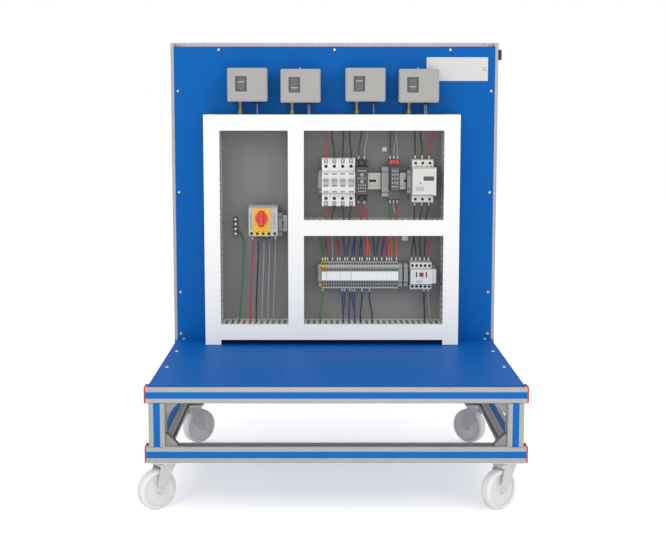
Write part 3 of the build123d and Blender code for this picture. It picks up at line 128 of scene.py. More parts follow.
# Studio: a pale floor that glows faintly to the camera, a room that the camera sees white and the
# object sees dimmer, and four soft lamps. Nothing here is part of the object.
FLOOR_SIZE = 14.0
FLOOR_GLOW = 0.42
ROOM_LIGHT = 0.66
ROOM_SEEN = 1.0
WHITE = (1, 1, 1, 1)
LAMP_TARGET = Vector((0, 0, 0.4))
# Each lamp's name, place, watts and width.
LAMPS = (
    ("key_lamp", (-1.5, -2.6, 2.2), 21, 1.6),
    ("fill_lamp", (1.9, -2.4, 1.6), 12, 1.8),
    ("top_lamp", (0.2, -0.3, 3.0), 12, 2.4),
    ("front_lamp", (0.1, -3.2, 0.5), 18, 1.4),
)
bpy.ops.mesh.primitive_plane_add(size=FLOOR_SIZE, location=(0, 0, 0))
floor = bpy.context.active_object
floor.name = "studio_floor"
floor_paint, tree, shader, _ = new_material("studio_floor_paint", roughness=0.9)
shader.inputs["Base Color"].default_value = linear("FBFBFB")
plain = shader.outputs[0]
path = add(tree, "ShaderNodeLightPath")
glow = add(tree, "ShaderNodeEmission", {"Color": WHITE, "Strength": FLOOR_GLOW})
both = add(tree, "ShaderNodeAddShader", {0: plain, 1: glow.outputs[0]})
by_ray = {"Fac": path.outputs["Is Camera Ray"], 1: plain, 2: both.outputs[0]}
seen = add(tree, "ShaderNodeMixShader", by_ray)
out = [node for node in tree.nodes if node.type == "OUTPUT_MATERIAL"][0]
tree.links.new(seen.outputs[0], out.inputs[0])
floor.data.materials.append(floor_paint)
floor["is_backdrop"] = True

world = bpy.data.worlds.new("studio_room")
bpy.context.scene.world = world
world.use_nodes = True
tree = world.node_tree
tree.nodes.clear()
path = add(tree, "ShaderNodeLightPath")
direct = path.outputs["Is Camera Ray"], path.outputs["Is Transmission Ray"]
by_ray = {"Value": worked(tree, "MAXIMUM", *direct), "To Min": ROOM_LIGHT, "To Max": ROOM_SEEN}
level = add(tree, "ShaderNodeMapRange", by_ray)
sky = add(tree, "ShaderNodeBackground", {"Color": WHITE, "Strength": level.outputs[0]})
out = add(tree, "ShaderNodeOutputWorld")
tree.links.new(sky.outputs[0], out.inputs[0])

for name, place, watts, width in LAMPS:
    lamp_data = bpy.data.lights.new(name, "AREA")
    lamp_data.energy = watts
    lamp_data.size = width
    lamp = bpy.data.objects.new(name, lamp_data)
    lamp.location = place
    aim = LAMP_TARGET - Vector(place)
    lamp.rotation_euler = aim.to_track_quat("-Z", "Y").to_euler()
    bpy.context.scene.collection.objects.link(lamp)


# Frame profiles: extruded aluminium bars with a slot in each face, cut to length and anodised.
# The matt skin has fine die lines along each bar, about 0.5 mm apart on the real one and drawn at
# 2 mm, so that they show from where the camera is.
LINE_SPAN = (0.3, 0.7)
LINE_TONE = 0.86


def dress(names, material):
    """Gives carried-over nodes their finish."""
    for name in names:
        mesh = nodes[name].data
        mesh.materials.clear()
        mesh.materials.append(material)


def bumped(tree, shader, height, strength, distance=0.0003):
    """Lets a height stand out of the surface a little."""
    relief = {"Height": height, "Strength": strength, "Distance": distance}
    tree.links.new(add(tree, "ShaderNodeBump", relief).outputs[0], shader.inputs["Normal"])


def die_lines(name, code, stretch):
    """Anodised aluminium; stretch flattens the noise along the bar's own axis."""
    material, tree, shader, where = new_material(name, metallic=0.55, roughness=0.42)
    place = add(tree, "ShaderNodeMapping", {"Vector": where, "Scale": stretch}).outputs[0]
    lines = add(tree, "ShaderNodeTexNoise", {"Vector": place, "Scale": 1.0, "Detail": 3.0})
    tone = add(tree, "ShaderNodeValToRGB", {"Fac": lines.outputs["Fac"]})
    dark, bright = tone.color_ramp.elements
    dark.position, bright.position = LINE_SPAN
    dark.color = [c * LINE_TONE for c in linear(code)[:3]] + [1]
    bright.color = linear(code)
    tree.links.new(tone.outputs[0], shader.inputs["Base Color"])
    bumped(tree, shader, lines.outputs["Fac"], strength=0.12, distance=0.0004)
    return material


dress(["base_rails"], die_lines("anodised_aluminium_rails", "B4B2AF", (60, 60, 520)))
dress(["base_legs"], die_lines("anodised_aluminium_legs", "B2B0AD", (520, 520, 14)))
dress(["back_frame_profiles"], die_lines("anodised_aluminium_uprights", "B0AEAB", (420, 420, 60)))


# Plastic fittings of the frame: blue strips pressed into the slots, red caps on the rail ends and a
# black catch. All are moulded or extruded, with a faint grain and clouds twelve grains across.
CLOUD_GRAINS = 12


def clouded(tree, shader, where, code, scale, detail, darkest, brightest=1.0):
    """Sets a colour that a soft noise darkens and lightens, and gives the noise back."""
    cloud = add(tree, "ShaderNodeTexNoise", {"Vector": where, "Scale": scale, "Detail": detail})
    noise = cloud.outputs["Fac"]
    span = {"Value": noise, "To Min": darkest, "To Max": brightest}
    paint = {0: linear(code)[:3], "Scale": add(tree, "ShaderNodeMapRange", span).outputs[0]}
    colour = add(tree, "ShaderNodeVectorMath", paint, operation="SCALE")
    tree.links.new(colour.outputs[0], shader.inputs["Base Color"])
    return noise


def fine_grain(tree, where, size_mm):
    """A noise whose grains are size_mm across."""
    grain = {"Vector": where, "Scale": 1000 / size_mm, "Detail": 1.0}
    return add(tree, "ShaderNodeTexNoise", grain).outputs["Fac"]


def moulded(name, code, roughness=0.45, grain_mm=2.5, darkest=0.94, **values):
    """Moulded plastic: an even colour with a faint cloud and a fine grain."""
    material, tree, shader, where = new_material(name, roughness=roughness, **values)
    cloud_mm = CLOUD_GRAINS * grain_mm
    clouded(tree, shader, where, code, scale=1000 / cloud_mm, detail=2.0, darkest=darkest)
    bumped(tree, shader, fine_grain(tree, where, grain_mm), strength=0.08)
    return material


STRIP_BLUE = moulded("extruded_pvc_strip_blue", "0069BC", 0.5, specular_ior_level=0.15)
dress(["slot_strips"], STRIP_BLUE)
dress(["rail_end_caps"], moulded("moulded_abs_cap_red", "C8283C", 0.42))
dress(["upright_catch"], moulded("moulded_nylon_catch_black", "232325", 0.5))


# Corner brackets: pressure-cast aluminium angles, bolted into the inner corners, tumbled and left
# bare, so a dull mottled grey.
GLOSS_SPREAD = 0.12


def bare_metal(name, code, roughness=0.35, metallic=0.9, mottle_mm=4.0):
    """Metal whose colour and gloss wander a little, as plating and casting leave it."""
    material, tree, shader, where = new_material(name, metallic=metallic)
    mottle = clouded(
        tree, shader, where, code, scale=1000 / mottle_mm, detail=4.0, darkest=0.84
    )
    low, high = roughness - GLOSS_SPREAD / 2, roughness + GLOSS_SPREAD / 2
    gloss = add(tree, "ShaderNodeMapRange", {"Value": mottle, "To Min": low, "To Max": high})
    tree.links.new(gloss.outputs[0], shader.inputs["Roughness"])
    bumped(tree, shader, mottle, strength=0.1)
    return material


dress(["frame_brackets"], bare_metal("cast_aluminium_bracket", "9A9A98", 0.45, 0.7))


# Panels: 3 mm steel sheet with a baked blue powder coat, screwed to the profiles. The coat is
# satin, with the slight orange peel that powder leaves.
def powder_coat(name, code, roughness, peel_mm=3.0, shine=0.3):
    """Baked powder on steel: a satin colour with a slight orange peel, peel_mm across."""
    settings = {"roughness": roughness, "specular_ior_level": shine}
    material, tree, shader, where = new_material(name, **settings)
    tones = {"darkest": 0.93, "brightest": 1.03}
    clouded(tree, shader, where, code, scale=6.0, detail=2.0, **tones)
    bumped(tree, shader, fine_grain(tree, where, peel_mm), strength=0.05, distance=0.0004)
    return material


BLUE_COAT = powder_coat("powder_coated_steel_blue", "0061B4", 0.5, shine=0.1)
dress(["back_panel", "shelf_panel"], BLUE_COAT)
dress(["name_plate"], bare_metal("brushed_aluminium_plate", "D6D6D4", 0.5, 0.35))
dress(["button_head_screws"], bare_metal("zinc_plated_screw", "D2D2CE", 0.3))


# Caster metalwork: pressed steel plates screwed under the rails and forks that swivel on them,
# bright zinc plated, with a plain bolt for an axle.
CORNERS = ("front_left", "front_right", "rear_left", "rear_right")
ZINC = bare_metal("bright_zinc_pressing", "E4E4E2", 0.32, 0.5, 9.0)
dress(["caster_plates"], ZINC)
for corner in CORNERS:
    dress([corner + "_caster_fork", corner + "_caster_axle"], ZINC)


# Wheels: moulded in natural polypropylene, a milky white that lets a little light through. Each has
# a rounded tread, a recessed web on both sides and a raised hub bored for the axle.
WHEEL_RADIUS = 0.0373
WHEEL_WIDTH = 0.0216
WHEEL_SIDES = 96
WEB_INSET = 0.0064
WEB_DEPTH = 0.0050
HUB_RADIUS = 0.0105
HUB_RISE = 0.0064
BORE_RADIUS = 0.0062
TREAD_ROUND = 0.0055
TREAD_SEGMENTS = 5
SMOOTH_UNDER = math.radians(32)
SQUARELY = 0.9
NEAR = 0.0001


def only(piece):
    """Leaves edit mode and makes piece the one selected and active object."""
    if bpy.context.mode != "OBJECT":
        bpy.ops.object.mode_set(mode="OBJECT")
    bpy.ops.object.select_all(action="DESELECT")
    piece.select_set(True)
    bpy.context.view_layer.objects.active = piece


def new_piece():
    """The primitive just added, with its size and place in its mesh."""
    piece = bpy.context.active_object
    only(piece)
    bpy.ops.object.transform_apply(location=True, rotation=True, scale=True)
    return piece


def edit_faces(piece, wanted):
    """Opens piece in edit mode with the faces selected whose normal is wanted."""
    only(piece)
    bpy.ops.object.mode_set(mode="EDIT")
    bpy.ops.mesh.select_mode(type="FACE")
    bpy.ops.mesh.select_all(action="DESELECT")
    bpy.ops.object.mode_set(mode="OBJECT")
    for face in piece.data.polygons:
        face.select = wanted(face.normal)
    bpy.ops.object.mode_set(mode="EDIT")


def settle(piece, name, material, body="frame", stands_for=()):
    """Ends a piece: its place goes into its mesh, and it is named, dressed and hung on its body."""
    only(piece)
    bpy.ops.object.transform_apply(location=True, rotation=True, scale=True)
    piece.name = name
    piece.data.name = name
    piece.data.materials.clear()
    piece.data.materials.append(material)
    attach(piece, body)
    if stands_for:
        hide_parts(*stands_for)


def copy_of(piece):
    """A copy with its own mesh."""
    copy = piece.copy()
    copy.data = piece.data.copy()
    bpy.context.scene.collection.objects.link(copy)
    return copy


bpy.ops.object.select_all(action="DESELECT")
bpy.ops.mesh.primitive_cylinder_add(vertices=WHEEL_SIDES, radius=WHEEL_RADIUS, depth=WHEEL_WIDTH)
wheel = new_piece()
edit_faces(wheel, lambda normal: abs(normal.z) > SQUARELY)
bpy.ops.mesh.inset(thickness=WEB_INSET)
bpy.ops.mesh.extrude_region_shrink_fatten(TRANSFORM_OT_shrink_fatten={"value": -WEB_DEPTH})
bpy.ops.mesh.inset(thickness=WHEEL_RADIUS - WEB_INSET - HUB_RADIUS)
bpy.ops.mesh.extrude_region_shrink_fatten(TRANSFORM_OT_shrink_fatten={"value": HUB_RISE})
bpy.ops.mesh.inset(thickness=HUB_RADIUS - BORE_RADIUS)
bpy.ops.mesh.bridge_edge_loops()
only(wheel)
bpy.ops.object.mode_set(mode="EDIT")
bpy.ops.mesh.select_mode(type="EDGE")
bpy.ops.mesh.select_all(action="DESELECT")
bpy.ops.object.mode_set(mode="OBJECT")
for edge in wheel.data.edges:
    ends = [wheel.data.vertices[i].co for i in edge.vertices]
    on_tread = all(math.hypot(end.x, end.y) > WHEEL_RADIUS - NEAR for end in ends)
    edge.select = on_tread and abs(ends[0].z - ends[1].z) < NEAR
bpy.ops.object.mode_set(mode="EDIT")
bpy.ops.mesh.bevel(offset=TREAD_ROUND, segments=TREAD_SEGMENTS)
bpy.ops.mesh.select_all(action="SELECT")
bpy.ops.mesh.normals_make_consistent(inside=False)
only(wheel)
bpy.ops.object.shade_smooth_by_angle(angle=SMOOTH_UNDER)

# The plastic is cloudy: some light goes in and comes out again, so its shadows are soft.
NATURAL = ("moulded_polypropylene_natural", "E9E9E8", 0.36, 3.0, 0.96)
NATURAL_PLASTIC = moulded(*NATURAL, subsurface_weight=0.2)
axes = {joint["name"]: Vector(joint["axis"]) for joint in frame["joints"]}
for corner in CORNERS:
    solid = corner + "_caster_wheel"
    dress([solid], NATURAL_PLASTIC)
    low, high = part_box(solid)
    turned = copy_of(wheel)
    turned.rotation_euler = axes[corner + "_roll"].to_track_quat("Z", "Y").to_euler()
    turned.location = (low + high) / 2
    name = corner + "_wheel_moulding"
    settle(turned, name, NATURAL_PLASTIC, body=corner + "_wheel", stands_for=[solid])
bpy.data.objects.remove(wheel)


# Cabinet: an enamelled steel back plate, slotted duct extruded in light grey PVC, snap-on lids in
# white PVC, and top-hat rails of passivated steel with a row of oblong holes in their floor.
HOLE_PITCH = 0.025
HOLE_SHARE = 0.6
HOLE_HALF = 0.0026
RAIL_LEVELS = (0.581, 0.3805, 0.490)
RAIL_FLOOR = 0.2033


def opened(material):
    """A finished material's tree, its shader, the position on the piece and its colour."""
    tree = material.node_tree
    shader = [node for node in tree.nodes if node.type == "BSDF_PRINCIPLED"][0]
    where = [node for node in tree.nodes if node.type == "TEX_COORD"][0].outputs["Object"]
    return tree, shader, where, shader.inputs["Base Color"].links[0].from_socket


def two_tone(tree, shader, mask, off, on):
    """Sets the colour to off where mask is 0 and to on where it is 1."""
    pick = add(tree, "ShaderNodeMix", {0: mask, 6: off, 7: on}, data_type="RGBA")
    tree.links.new(pick.outputs[2], shader.inputs["Base Color"])


dress(["cabinet_backplate"], powder_coat("textured_grey_enamel", "878785", 0.6, 2.0))
dress(["wiring_ducts"], moulded("extruded_pvc_duct_grey", "DEDEDC", 0.5))
dress(["duct_lids"], moulded("extruded_pvc_lid_white", "F8F7F2", 0.4, 3.0, 0.985))
RAIL_STEEL = bare_metal("passivated_steel_rail", "B4B2AC", 0.38, 0.6, 6.0)
tree, shader, where, steel = opened(RAIL_STEEL)
# The oblong holes are not cut: the rail floor is painted near-black where they lie, painted shade
# standing for the holes.
x, y, z = add(tree, "ShaderNodeSeparateXYZ", {"Vector": where}).outputs
away = [worked(tree, "ABSOLUTE", worked(tree, "SUBTRACT", z, level)) for level in RAIL_LEVELS]
nearest = worked(tree, "MINIMUM", worked(tree, "MINIMUM", away[0], away[1]), away[2])
level_mask = worked(tree, "LESS_THAN", nearest, HOLE_HALF)
phase = worked(tree, "FRACT", worked(tree, "DIVIDE", x, HOLE_PITCH))
hole_mask = worked(tree, "LESS_THAN", phase, HOLE_SHARE)
floor_mask = worked(tree, "GREATER_THAN", y, RAIL_FLOOR)
hole_shade_mask = worked(tree, "MULTIPLY", worked(tree, "MULTIPLY", level_mask, hole_mask), floor_mask)
two_tone(tree, shader, hole_shade_mask, steel, linear("1C1C1C"))
dress(["device_rails"], RAIL_STEEL)


# Cable tie mounts: two white nylon pads stuck to the back plate, each with a recess for the tie.
# Their middles and sizes are x, z, width and height.
TIE_MOUNTS = ((0.1525, 0.457, 0.013, 0.010), (0.1075, 0.649, 0.010, 0.010))
TIE_MOUNT_THICK = 0.004
TIE_MOUNT_BEVEL = 0.0006
TIE_SLOT = 0.0016


def bevelled_block(low, high, bevel, segments=2):
    """A block between two corners, with its edges broken in edit mode."""
    low, high = Vector(low), Vector(high)
    bpy.ops.object.select_all(action="DESELECT")
    bpy.ops.mesh.primitive_cube_add(size=1, location=(low + high) / 2, scale=high - low)
    piece = new_piece()
    bpy.ops.object.mode_set(mode="EDIT")
    bpy.ops.mesh.select_all(action="SELECT")
    bpy.ops.mesh.bevel(offset=bevel, segments=segments)
    only(piece)
    return piece


def front_faces(piece):
    """Opens piece in edit mode with the faces selected that look to -Y."""
    edit_faces(piece, lambda normal: normal.y < -SQUARELY)


def push(depth):
    """Extrudes the selected faces towards +Y, or towards -Y where depth is negative."""
    bpy.ops.mesh.extrude_region_move(TRANSFORM_OT_translate={"value": (0, depth, 0)})


plate_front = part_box("cabinet_backplate")[0].y
NYLON = moulded("moulded_nylon_white", "EDEDEB", 0.42)
for number, (x, z, width, height) in enumerate(TIE_MOUNTS, start=1):
    low = (x - width / 2, plate_front - TIE_MOUNT_THICK, z - height / 2)
    high = (x + width / 2, plate_front, z + height / 2)
    mount = bevelled_block(low, high, TIE_MOUNT_BEVEL)
    front_faces(mount)
    bpy.ops.mesh.inset(thickness=TIE_SLOT)
    push(TIE_SLOT)
    settle(mount, "cable_tie_mount_%d" % number, NYLON)


# Breakers: four white moulded cases snapped on the rail side by side, with the mouths of their
# screw wells near-black in painted shade, and a grey lever in each nose.
BREAKER_COUNT = 4
BREAKER_PITCH = 0.0176
BREAKER_GAP = 0.0002
BREAKER_STEP = 0.016
BREAKER_WELL_INSET = 0.017
BREAKER_WELL = 0.0037
WELL_BORE = 0.0028
WELL_DEPTH = 0.0028
FLUSH = 0.0003
SHALLOW = {"proud": 0.0005, "sink": 0.0004}


def disc(radius, depth, sides, y):
    """A disc across the Y axis with its middle at y."""
    bpy.ops.object.select_all(action="DESELECT")
    bpy.ops.mesh.primitive_cylinder_add(
        vertices=sides, radius=radius, depth=depth, location=(0, y, 0), rotation=(math.pi / 2, 0, 0)
    )
    return new_piece()


def well_mouth(radius, bore=WELL_BORE, sides=24, proud=FLUSH, sink=WELL_DEPTH):
    """The rim and bore of a screw well, its front at the origin, looking to -Y: a disc a little
    wider than the well, made to be dressed in painted shade.
    """
    piece = disc(radius, 2 * WELL_DEPTH, sides, WELL_DEPTH - proud)
    front_faces(piece)
    bpy.ops.mesh.inset(thickness=radius - bore)
    push(sink)
    only(piece)
    return piece


def set_out(piece, places, name, material, body="frame"):
    """Copies a modelled piece to each place, joins the copies and removes the model."""
    copies = []
    for place in places:
        copy = copy_of(piece)
        copy.location = place
        copies.append(copy)
    only(copies[0])
    for copy in copies:
        copy.select_set(True)
    if len(copies) > 1:
        bpy.ops.object.join()
    bpy.data.objects.remove(piece)
    settle(copies[0], name, material, body)


# Painted shade: near-black for the screw wells and test holes. A screw sits in each screw well, but
# its darkness and the dark ring round the well are painted shade.
SCREW_WELL_SHADE = bare_metal("painted_shade_screw_well", "262628", 0.5, 0.3)
dress(["breaker_bodies"], moulded("moulded_polyamide_white", "E6E6E3", 0.4))
TOGGLE_PLASTIC = moulded("moulded_toggle_grey", "B9BCBC", 0.35)
dress(["breaker_toggle_%d" % (i + 1) for i in range(BREAKER_COUNT)], TOGGLE_PLASTIC)
low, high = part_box("breaker_bodies")
first_x = low.x + (BREAKER_PITCH - BREAKER_GAP) / 2
breaker_xs = [first_x + i * BREAKER_PITCH for i in range(BREAKER_COUNT)]
well_levels = (low.z + BREAKER_WELL_INSET, high.z - BREAKER_WELL_INSET)
places = [(x, low.y + BREAKER_STEP, z) for x in breaker_xs for z in well_levels]
set_out(well_mouth(BREAKER_WELL), places, "breaker_screw_wells", SCREW_WELL_SHADE)

# Grey marking windows: one above and one below each lever.
MARK_SINK = 0.001
MARK_BEVEL = 0.0002
WINDOW_HALF = (0.0052, 0.0017)
WINDOW_BEVEL = 0.0003
WINDOW_RISE = 0.0185


def printed_bar(half_width, half_height, bevel=MARK_BEVEL):
    """A mark on a face at y = 0, standing out of it by a hair, with its middle at the origin."""
    low = (-half_width, -FLUSH, -half_height)
    return bevelled_block(low, (half_width, MARK_SINK, half_height), bevel)


middle_z = (low.z + high.z) / 2
PRINT_GREY = moulded("printed_grey_field", "8C9092", 0.4)
window = printed_bar(*WINDOW_HALF, WINDOW_BEVEL)
window_levels = (middle_z + WINDOW_RISE, middle_z - WINDOW_RISE)
places = [(x, low.y, z) for x in breaker_xs for z in window_levels]
set_out(window, places, "breaker_marking_windows", PRINT_GREY)


# Main switch: a grey thermoplastic body snapped on its rail, a yellow plate with a lower terminal
# cover, and a red rotary handle with a small hole for a lock pin.
COVER_LEVELS = (0.4685, 0.4785)
COVER_INSET = 0.0004
COVER_BEVEL = 0.0005
POLE_PITCH = 0.01225
POLE_LEVEL = 0.4735
POLE_WELL = 0.0031
POLE_BORE = 0.0022
GRILLE_HALF = (0.0014, 0.0007)
GRILLE_BARS = 7
GRILLE_STEP = 0.0048
GRILLE_RISE = 0.006
PIN_HOLE = {"radius": 0.0016, "bore": 0.0011, "sides": 16, **SHALLOW}
PIN_RISE = 0.0055


def repeat(piece, count, step):
    """Repeats a piece in a straight row with an applied Array modifier."""
    only(piece)
    array = piece.modifiers.new("row", "ARRAY")
    array.count = count
    array.use_relative_offset = False
    array.use_constant_offset = True
    array.constant_offset_displace = step
    bpy.ops.object.modifier_apply(modifier="row")
    return piece


dress(["main_switch_body"], moulded("moulded_nylon_switch_grey", "C0C0BC", 0.5))
YELLOW = moulded("moulded_abs_yellow", "F0BE0A", 0.35)
RED = moulded("moulded_abs_red", "E6301F", 0.3)
dress(["main_switch_faceplate"], YELLOW)
dress(["main_switch_handle"], RED)
low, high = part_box("main_switch_body")
plate_low, plate_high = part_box("main_switch_faceplate")
cover_front = plate_low.y + COVER_INSET
switch_cover = bevelled_block(
    (plate_low.x + COVER_INSET, cover_front, COVER_LEVELS[0]),
    (plate_high.x - COVER_INSET, low.y, COVER_LEVELS[1]),
    COVER_BEVEL,
)
settle(switch_cover, "main_switch_terminal_cover", YELLOW)
switch_x = (low.x + high.x) / 2
covered_xs = [switch_x + i * POLE_PITCH for i in (-1, 0, 1)]
bare_xs = [switch_x + i * POLE_PITCH for i in (-2, 2)]
# The switch's pole wells are near-black in painted shade.
well = well_mouth(POLE_WELL, POLE_BORE)
places = [(x, low.y, POLE_LEVEL) for x in bare_xs]
set_out(well, places, "main_switch_outer_wells", SCREW_WELL_SHADE)
well = well_mouth(POLE_WELL, POLE_BORE, **SHALLOW)
places = [(x, cover_front, POLE_LEVEL) for x in covered_xs]
set_out(well, places, "main_switch_cover_wells", SCREW_WELL_SHADE)
# Painted shade for openings: the grille slots on the switch flanks, the lock pin hole, the
# starter's test button recess and the terminals' wire entries are near-black, standing for the
# shade in them.
GAP_SHADE = moulded("painted_shade_gaps", "3C3E3E", 0.6)
grille = repeat(printed_bar(*GRILLE_HALF), GRILLE_BARS, (0, 0, GRILLE_STEP))
flanks = ((low.x + plate_low.x) / 2, (high.x + plate_high.x) / 2)
places = [(x, low.y, COVER_LEVELS[1] + GRILLE_RISE) for x in flanks]
set_out(grille, places, "main_switch_flank_grilles", GAP_SHADE)
handle_low, handle_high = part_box("main_switch_handle")
handle = (handle_low + handle_high) / 2
hole = well_mouth(**PIN_HOLE)
places = [(handle.x, handle_low.y, handle.z + PIN_RISE)]
set_out(hole, places, "main_switch_lock_hole", GAP_SHADE, "switch_handle")

# Blue collars on the three middle ferrules, where the leads come out under the switch.
COLLAR_LENGTH = 0.0066
COLLAR_RADIUS = 0.0031
COLLAR_SIDES = 20
COLLAR_TAPER = 0.72
COLLAR_RIM = 0.0006
COLLAR_SMOOTH = math.radians(40)
SWITCH_STEP = 0.012
bpy.ops.object.select_all(action="DESELECT")
middle = (0, 0, -COLLAR_LENGTH / 2)
bpy.ops.mesh.primitive_cylinder_add(
    vertices=COLLAR_SIDES, radius=COLLAR_RADIUS, depth=COLLAR_LENGTH, location=middle
)
collar = new_piece()
edit_faces(collar, lambda normal: normal.z < -SQUARELY)
bpy.ops.transform.resize(value=(COLLAR_TAPER, COLLAR_TAPER, 1))
bpy.ops.mesh.inset(thickness=COLLAR_RIM)
only(collar)
bpy.ops.object.shade_smooth_by_angle(angle=COLLAR_SMOOTH)
rail_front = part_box("device_rails")[0].y
places = [(x, (low.y + SWITCH_STEP + rail_front) / 2, low.z) for x in covered_xs]
COLLAR_BLUE = moulded("moulded_ferrule_blue", "23308C", 0.4)
set_out(collar, places, "main_switch_ferrule_collars", COLLAR_BLUE)


# Timer relay: a black polycarbonate case snapped on the rail, with two setting dials and pale
# printed marks.
TIMER_STEP = 0.016
TIMER_WELL = 0.0033
TIMER_WELL_INSET = 0.0055
DIAL_RADIUS = 0.0040
DIAL_SIDES = 28
DIAL_THICK = 0.0016
DIAL_RIM = 0.0008
DIAL_DISH = 0.0006
KNOB_INSET = 0.0018
KNOB_RISE = 0.0009
DIAL_RISES = (0.013, -0.001)
TIMER_TICK = (0.0009, 0.0011)
TIMER_TICKS = 4
TIMER_TICK_PITCH = 0.0045
TIMER_MARK_RISES = (0.0215, 0.006, -0.0085, -0.0145, -0.0215)
MARK_PALE = moulded("printed_pale_mark", "D8D8D4", 0.45)
dress(["timer_relay"], moulded("moulded_polycarbonate_black", "38383A", 0.4))
low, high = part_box("timer_relay")
timer = (low + high) / 2
quarter = (high.x - low.x) / 4
well_levels = (low.z + TIMER_WELL_INSET, high.z - TIMER_WELL_INSET)
well_xs = (low.x + quarter, high.x - quarter)
places = [(x, low.y + TIMER_STEP, z) for x in well_xs for z in well_levels]
# The timer's screw wells are near-black in painted shade.
set_out(well_mouth(TIMER_WELL), places, "timer_relay_screw_wells", SCREW_WELL_SHADE)
dial = disc(DIAL_RADIUS, DIAL_THICK, DIAL_SIDES, 0)
front_faces(dial)
bpy.ops.mesh.inset(thickness=DIAL_RIM)
push(DIAL_DISH)
bpy.ops.mesh.inset(thickness=KNOB_INSET)
push(-KNOB_RISE)
places = [(timer.x, low.y, timer.z + rise) for rise in DIAL_RISES]
set_out(dial, places, "timer_relay_dials", PRINT_GREY)
ticks = repeat(printed_bar(*TIMER_TICK), TIMER_TICKS, (TIMER_TICK_PITCH, 0, 0))
first_x = timer.x - TIMER_TICK_PITCH * (TIMER_TICKS - 1) / 2
places = [(first_x, low.y, timer.z + rise) for rise in TIMER_MARK_RISES]
set_out(ticks, places, "timer_relay_marks", MARK_PALE)


# Control relay: a smoky plug-in case on a black screw socket, with three red marking levers along
# the top of the socket and pale printed marks.
SOCKET_DEPTH = 0.026
LEVER_SIZE = (0.0054, 0.0042, 0.0085)
LEVER_BEVEL = 0.0008
LEVER_PITCH = 0.0062
RELAY_TICK = (0.0011, 0.0009)
RELAY_TICKS = 3
RELAY_TICK_PITCH = 0.0052
RELAY_MARK_RISES = (0.021, 0.013, 0.005, -0.004, -0.012)
dress(["control_relay"], moulded("moulded_relay_smoke", "48484A", 0.3))
low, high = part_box("control_relay")
relay = (low + high) / 2
lever_width, lever_depth, lever_height = LEVER_SIZE
lever = bevelled_block(
    (-lever_width / 2, -lever_depth, -lever_height), (lever_width / 2, 0, 0), LEVER_BEVEL
)
places = [(relay.x + i * LEVER_PITCH, rail_front - SOCKET_DEPTH, high.z) for i in (-1, 0, 1)]
set_out(lever, places, "control_relay_marking_levers", RED)
ticks = repeat(printed_bar(*RELAY_TICK), RELAY_TICKS, (RELAY_TICK_PITCH, 0, 0))
first_x = relay.x - RELAY_TICK_PITCH * (RELAY_TICKS - 1) / 2
places = [(first_x, low.y, relay.z + rise) for rise in RELAY_MARK_RISES]
set_out(ticks, places, "control_relay_marks", MARK_PALE)


# Motor starter: a light grey case snapped on the rail, with a row of screw wells above and one
# below, small test holes and a test button, a black window over the scale and faint rating lines.
STARTER_STEP = 0.018
STARTER_WELL = 0.0032
STARTER_WELL_INSET = 0.007
STARTER_POLE_PITCH = 0.015
STARTER_MIDDLE = 0.02235
TEST_HOLE = {"radius": 0.0023, "bore": 0.0017, "sides": 16, **SHALLOW}
TEST_HOLE_XS = (-0.0120, -0.0025, 0.0085, 0.0180)
TEST_HOLE_DROP = 0.0145
WINDOW_PLACE = (0.0113, 0.0065)
WINDOW_SIZE = (0.0218, 0.0088)
WINDOW_DEPTHS = (0.0004, 0.0019)
BUTTON_PLACE = (-0.0060, -0.0095)
STARTER_LINE = (0.009, 0.0005)
STARTER_LINES = 4
STARTER_LINE_STEP = 0.0024
STARTER_LINES_PLACE = (-0.0075, -0.0185)
dress(["motor_starter"], moulded("moulded_starter_grey", "D6D6D1", 0.42))
low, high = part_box("motor_starter")
starter_x = low.x + STARTER_MIDDLE
starter_z = (low.z + high.z) / 2
face_y = low.y + STARTER_STEP
well_levels = (low.z + STARTER_WELL_INSET, high.z - STARTER_WELL_INSET)
well_xs = [starter_x + i * STARTER_POLE_PITCH for i in (-1, 0, 1)]
places = [(x, face_y, z) for x in well_xs for z in well_levels]
# The starter's screw wells and test holes are near-black in painted shade.
set_out(well_mouth(STARTER_WELL), places, "motor_starter_screw_wells", SCREW_WELL_SHADE)
places = [(starter_x + x, face_y, high.z - TEST_HOLE_DROP) for x in TEST_HOLE_XS]
hole = well_mouth(**TEST_HOLE)
set_out(hole, places, "motor_starter_test_holes", SCREW_WELL_SHADE)
window_x = starter_x + WINDOW_PLACE[0]
window_z = starter_z + WINDOW_PLACE[1]
half_width, half_height = WINDOW_SIZE[0] / 2, WINDOW_SIZE[1] / 2
starter_window = bevelled_block(
    (window_x - half_width, low.y + WINDOW_DEPTHS[0], window_z - half_height),
    (window_x + half_width, low.y + WINDOW_DEPTHS[1], window_z + half_height),
    WINDOW_BEVEL,
)
WINDOW_BLACK = moulded("moulded_window_black", "161618", 0.2)
settle(starter_window, "motor_starter_window", WINDOW_BLACK)
# The test button is drawn as a dark hole in painted shade.
places = [(starter_x + BUTTON_PLACE[0], low.y, window_z + BUTTON_PLACE[1])]
set_out(well_mouth(**PIN_HOLE), places, "motor_starter_test_button", GAP_SHADE)
rating = repeat(printed_bar(*STARTER_LINE), STARTER_LINES, (0, 0, STARTER_LINE_STEP))
places = [(starter_x + STARTER_LINES_PLACE[0], low.y, starter_z + STARTER_LINES_PLACE[1])]
set_out(rating, places, "motor_starter_rating_lines", PRINT_GREY)


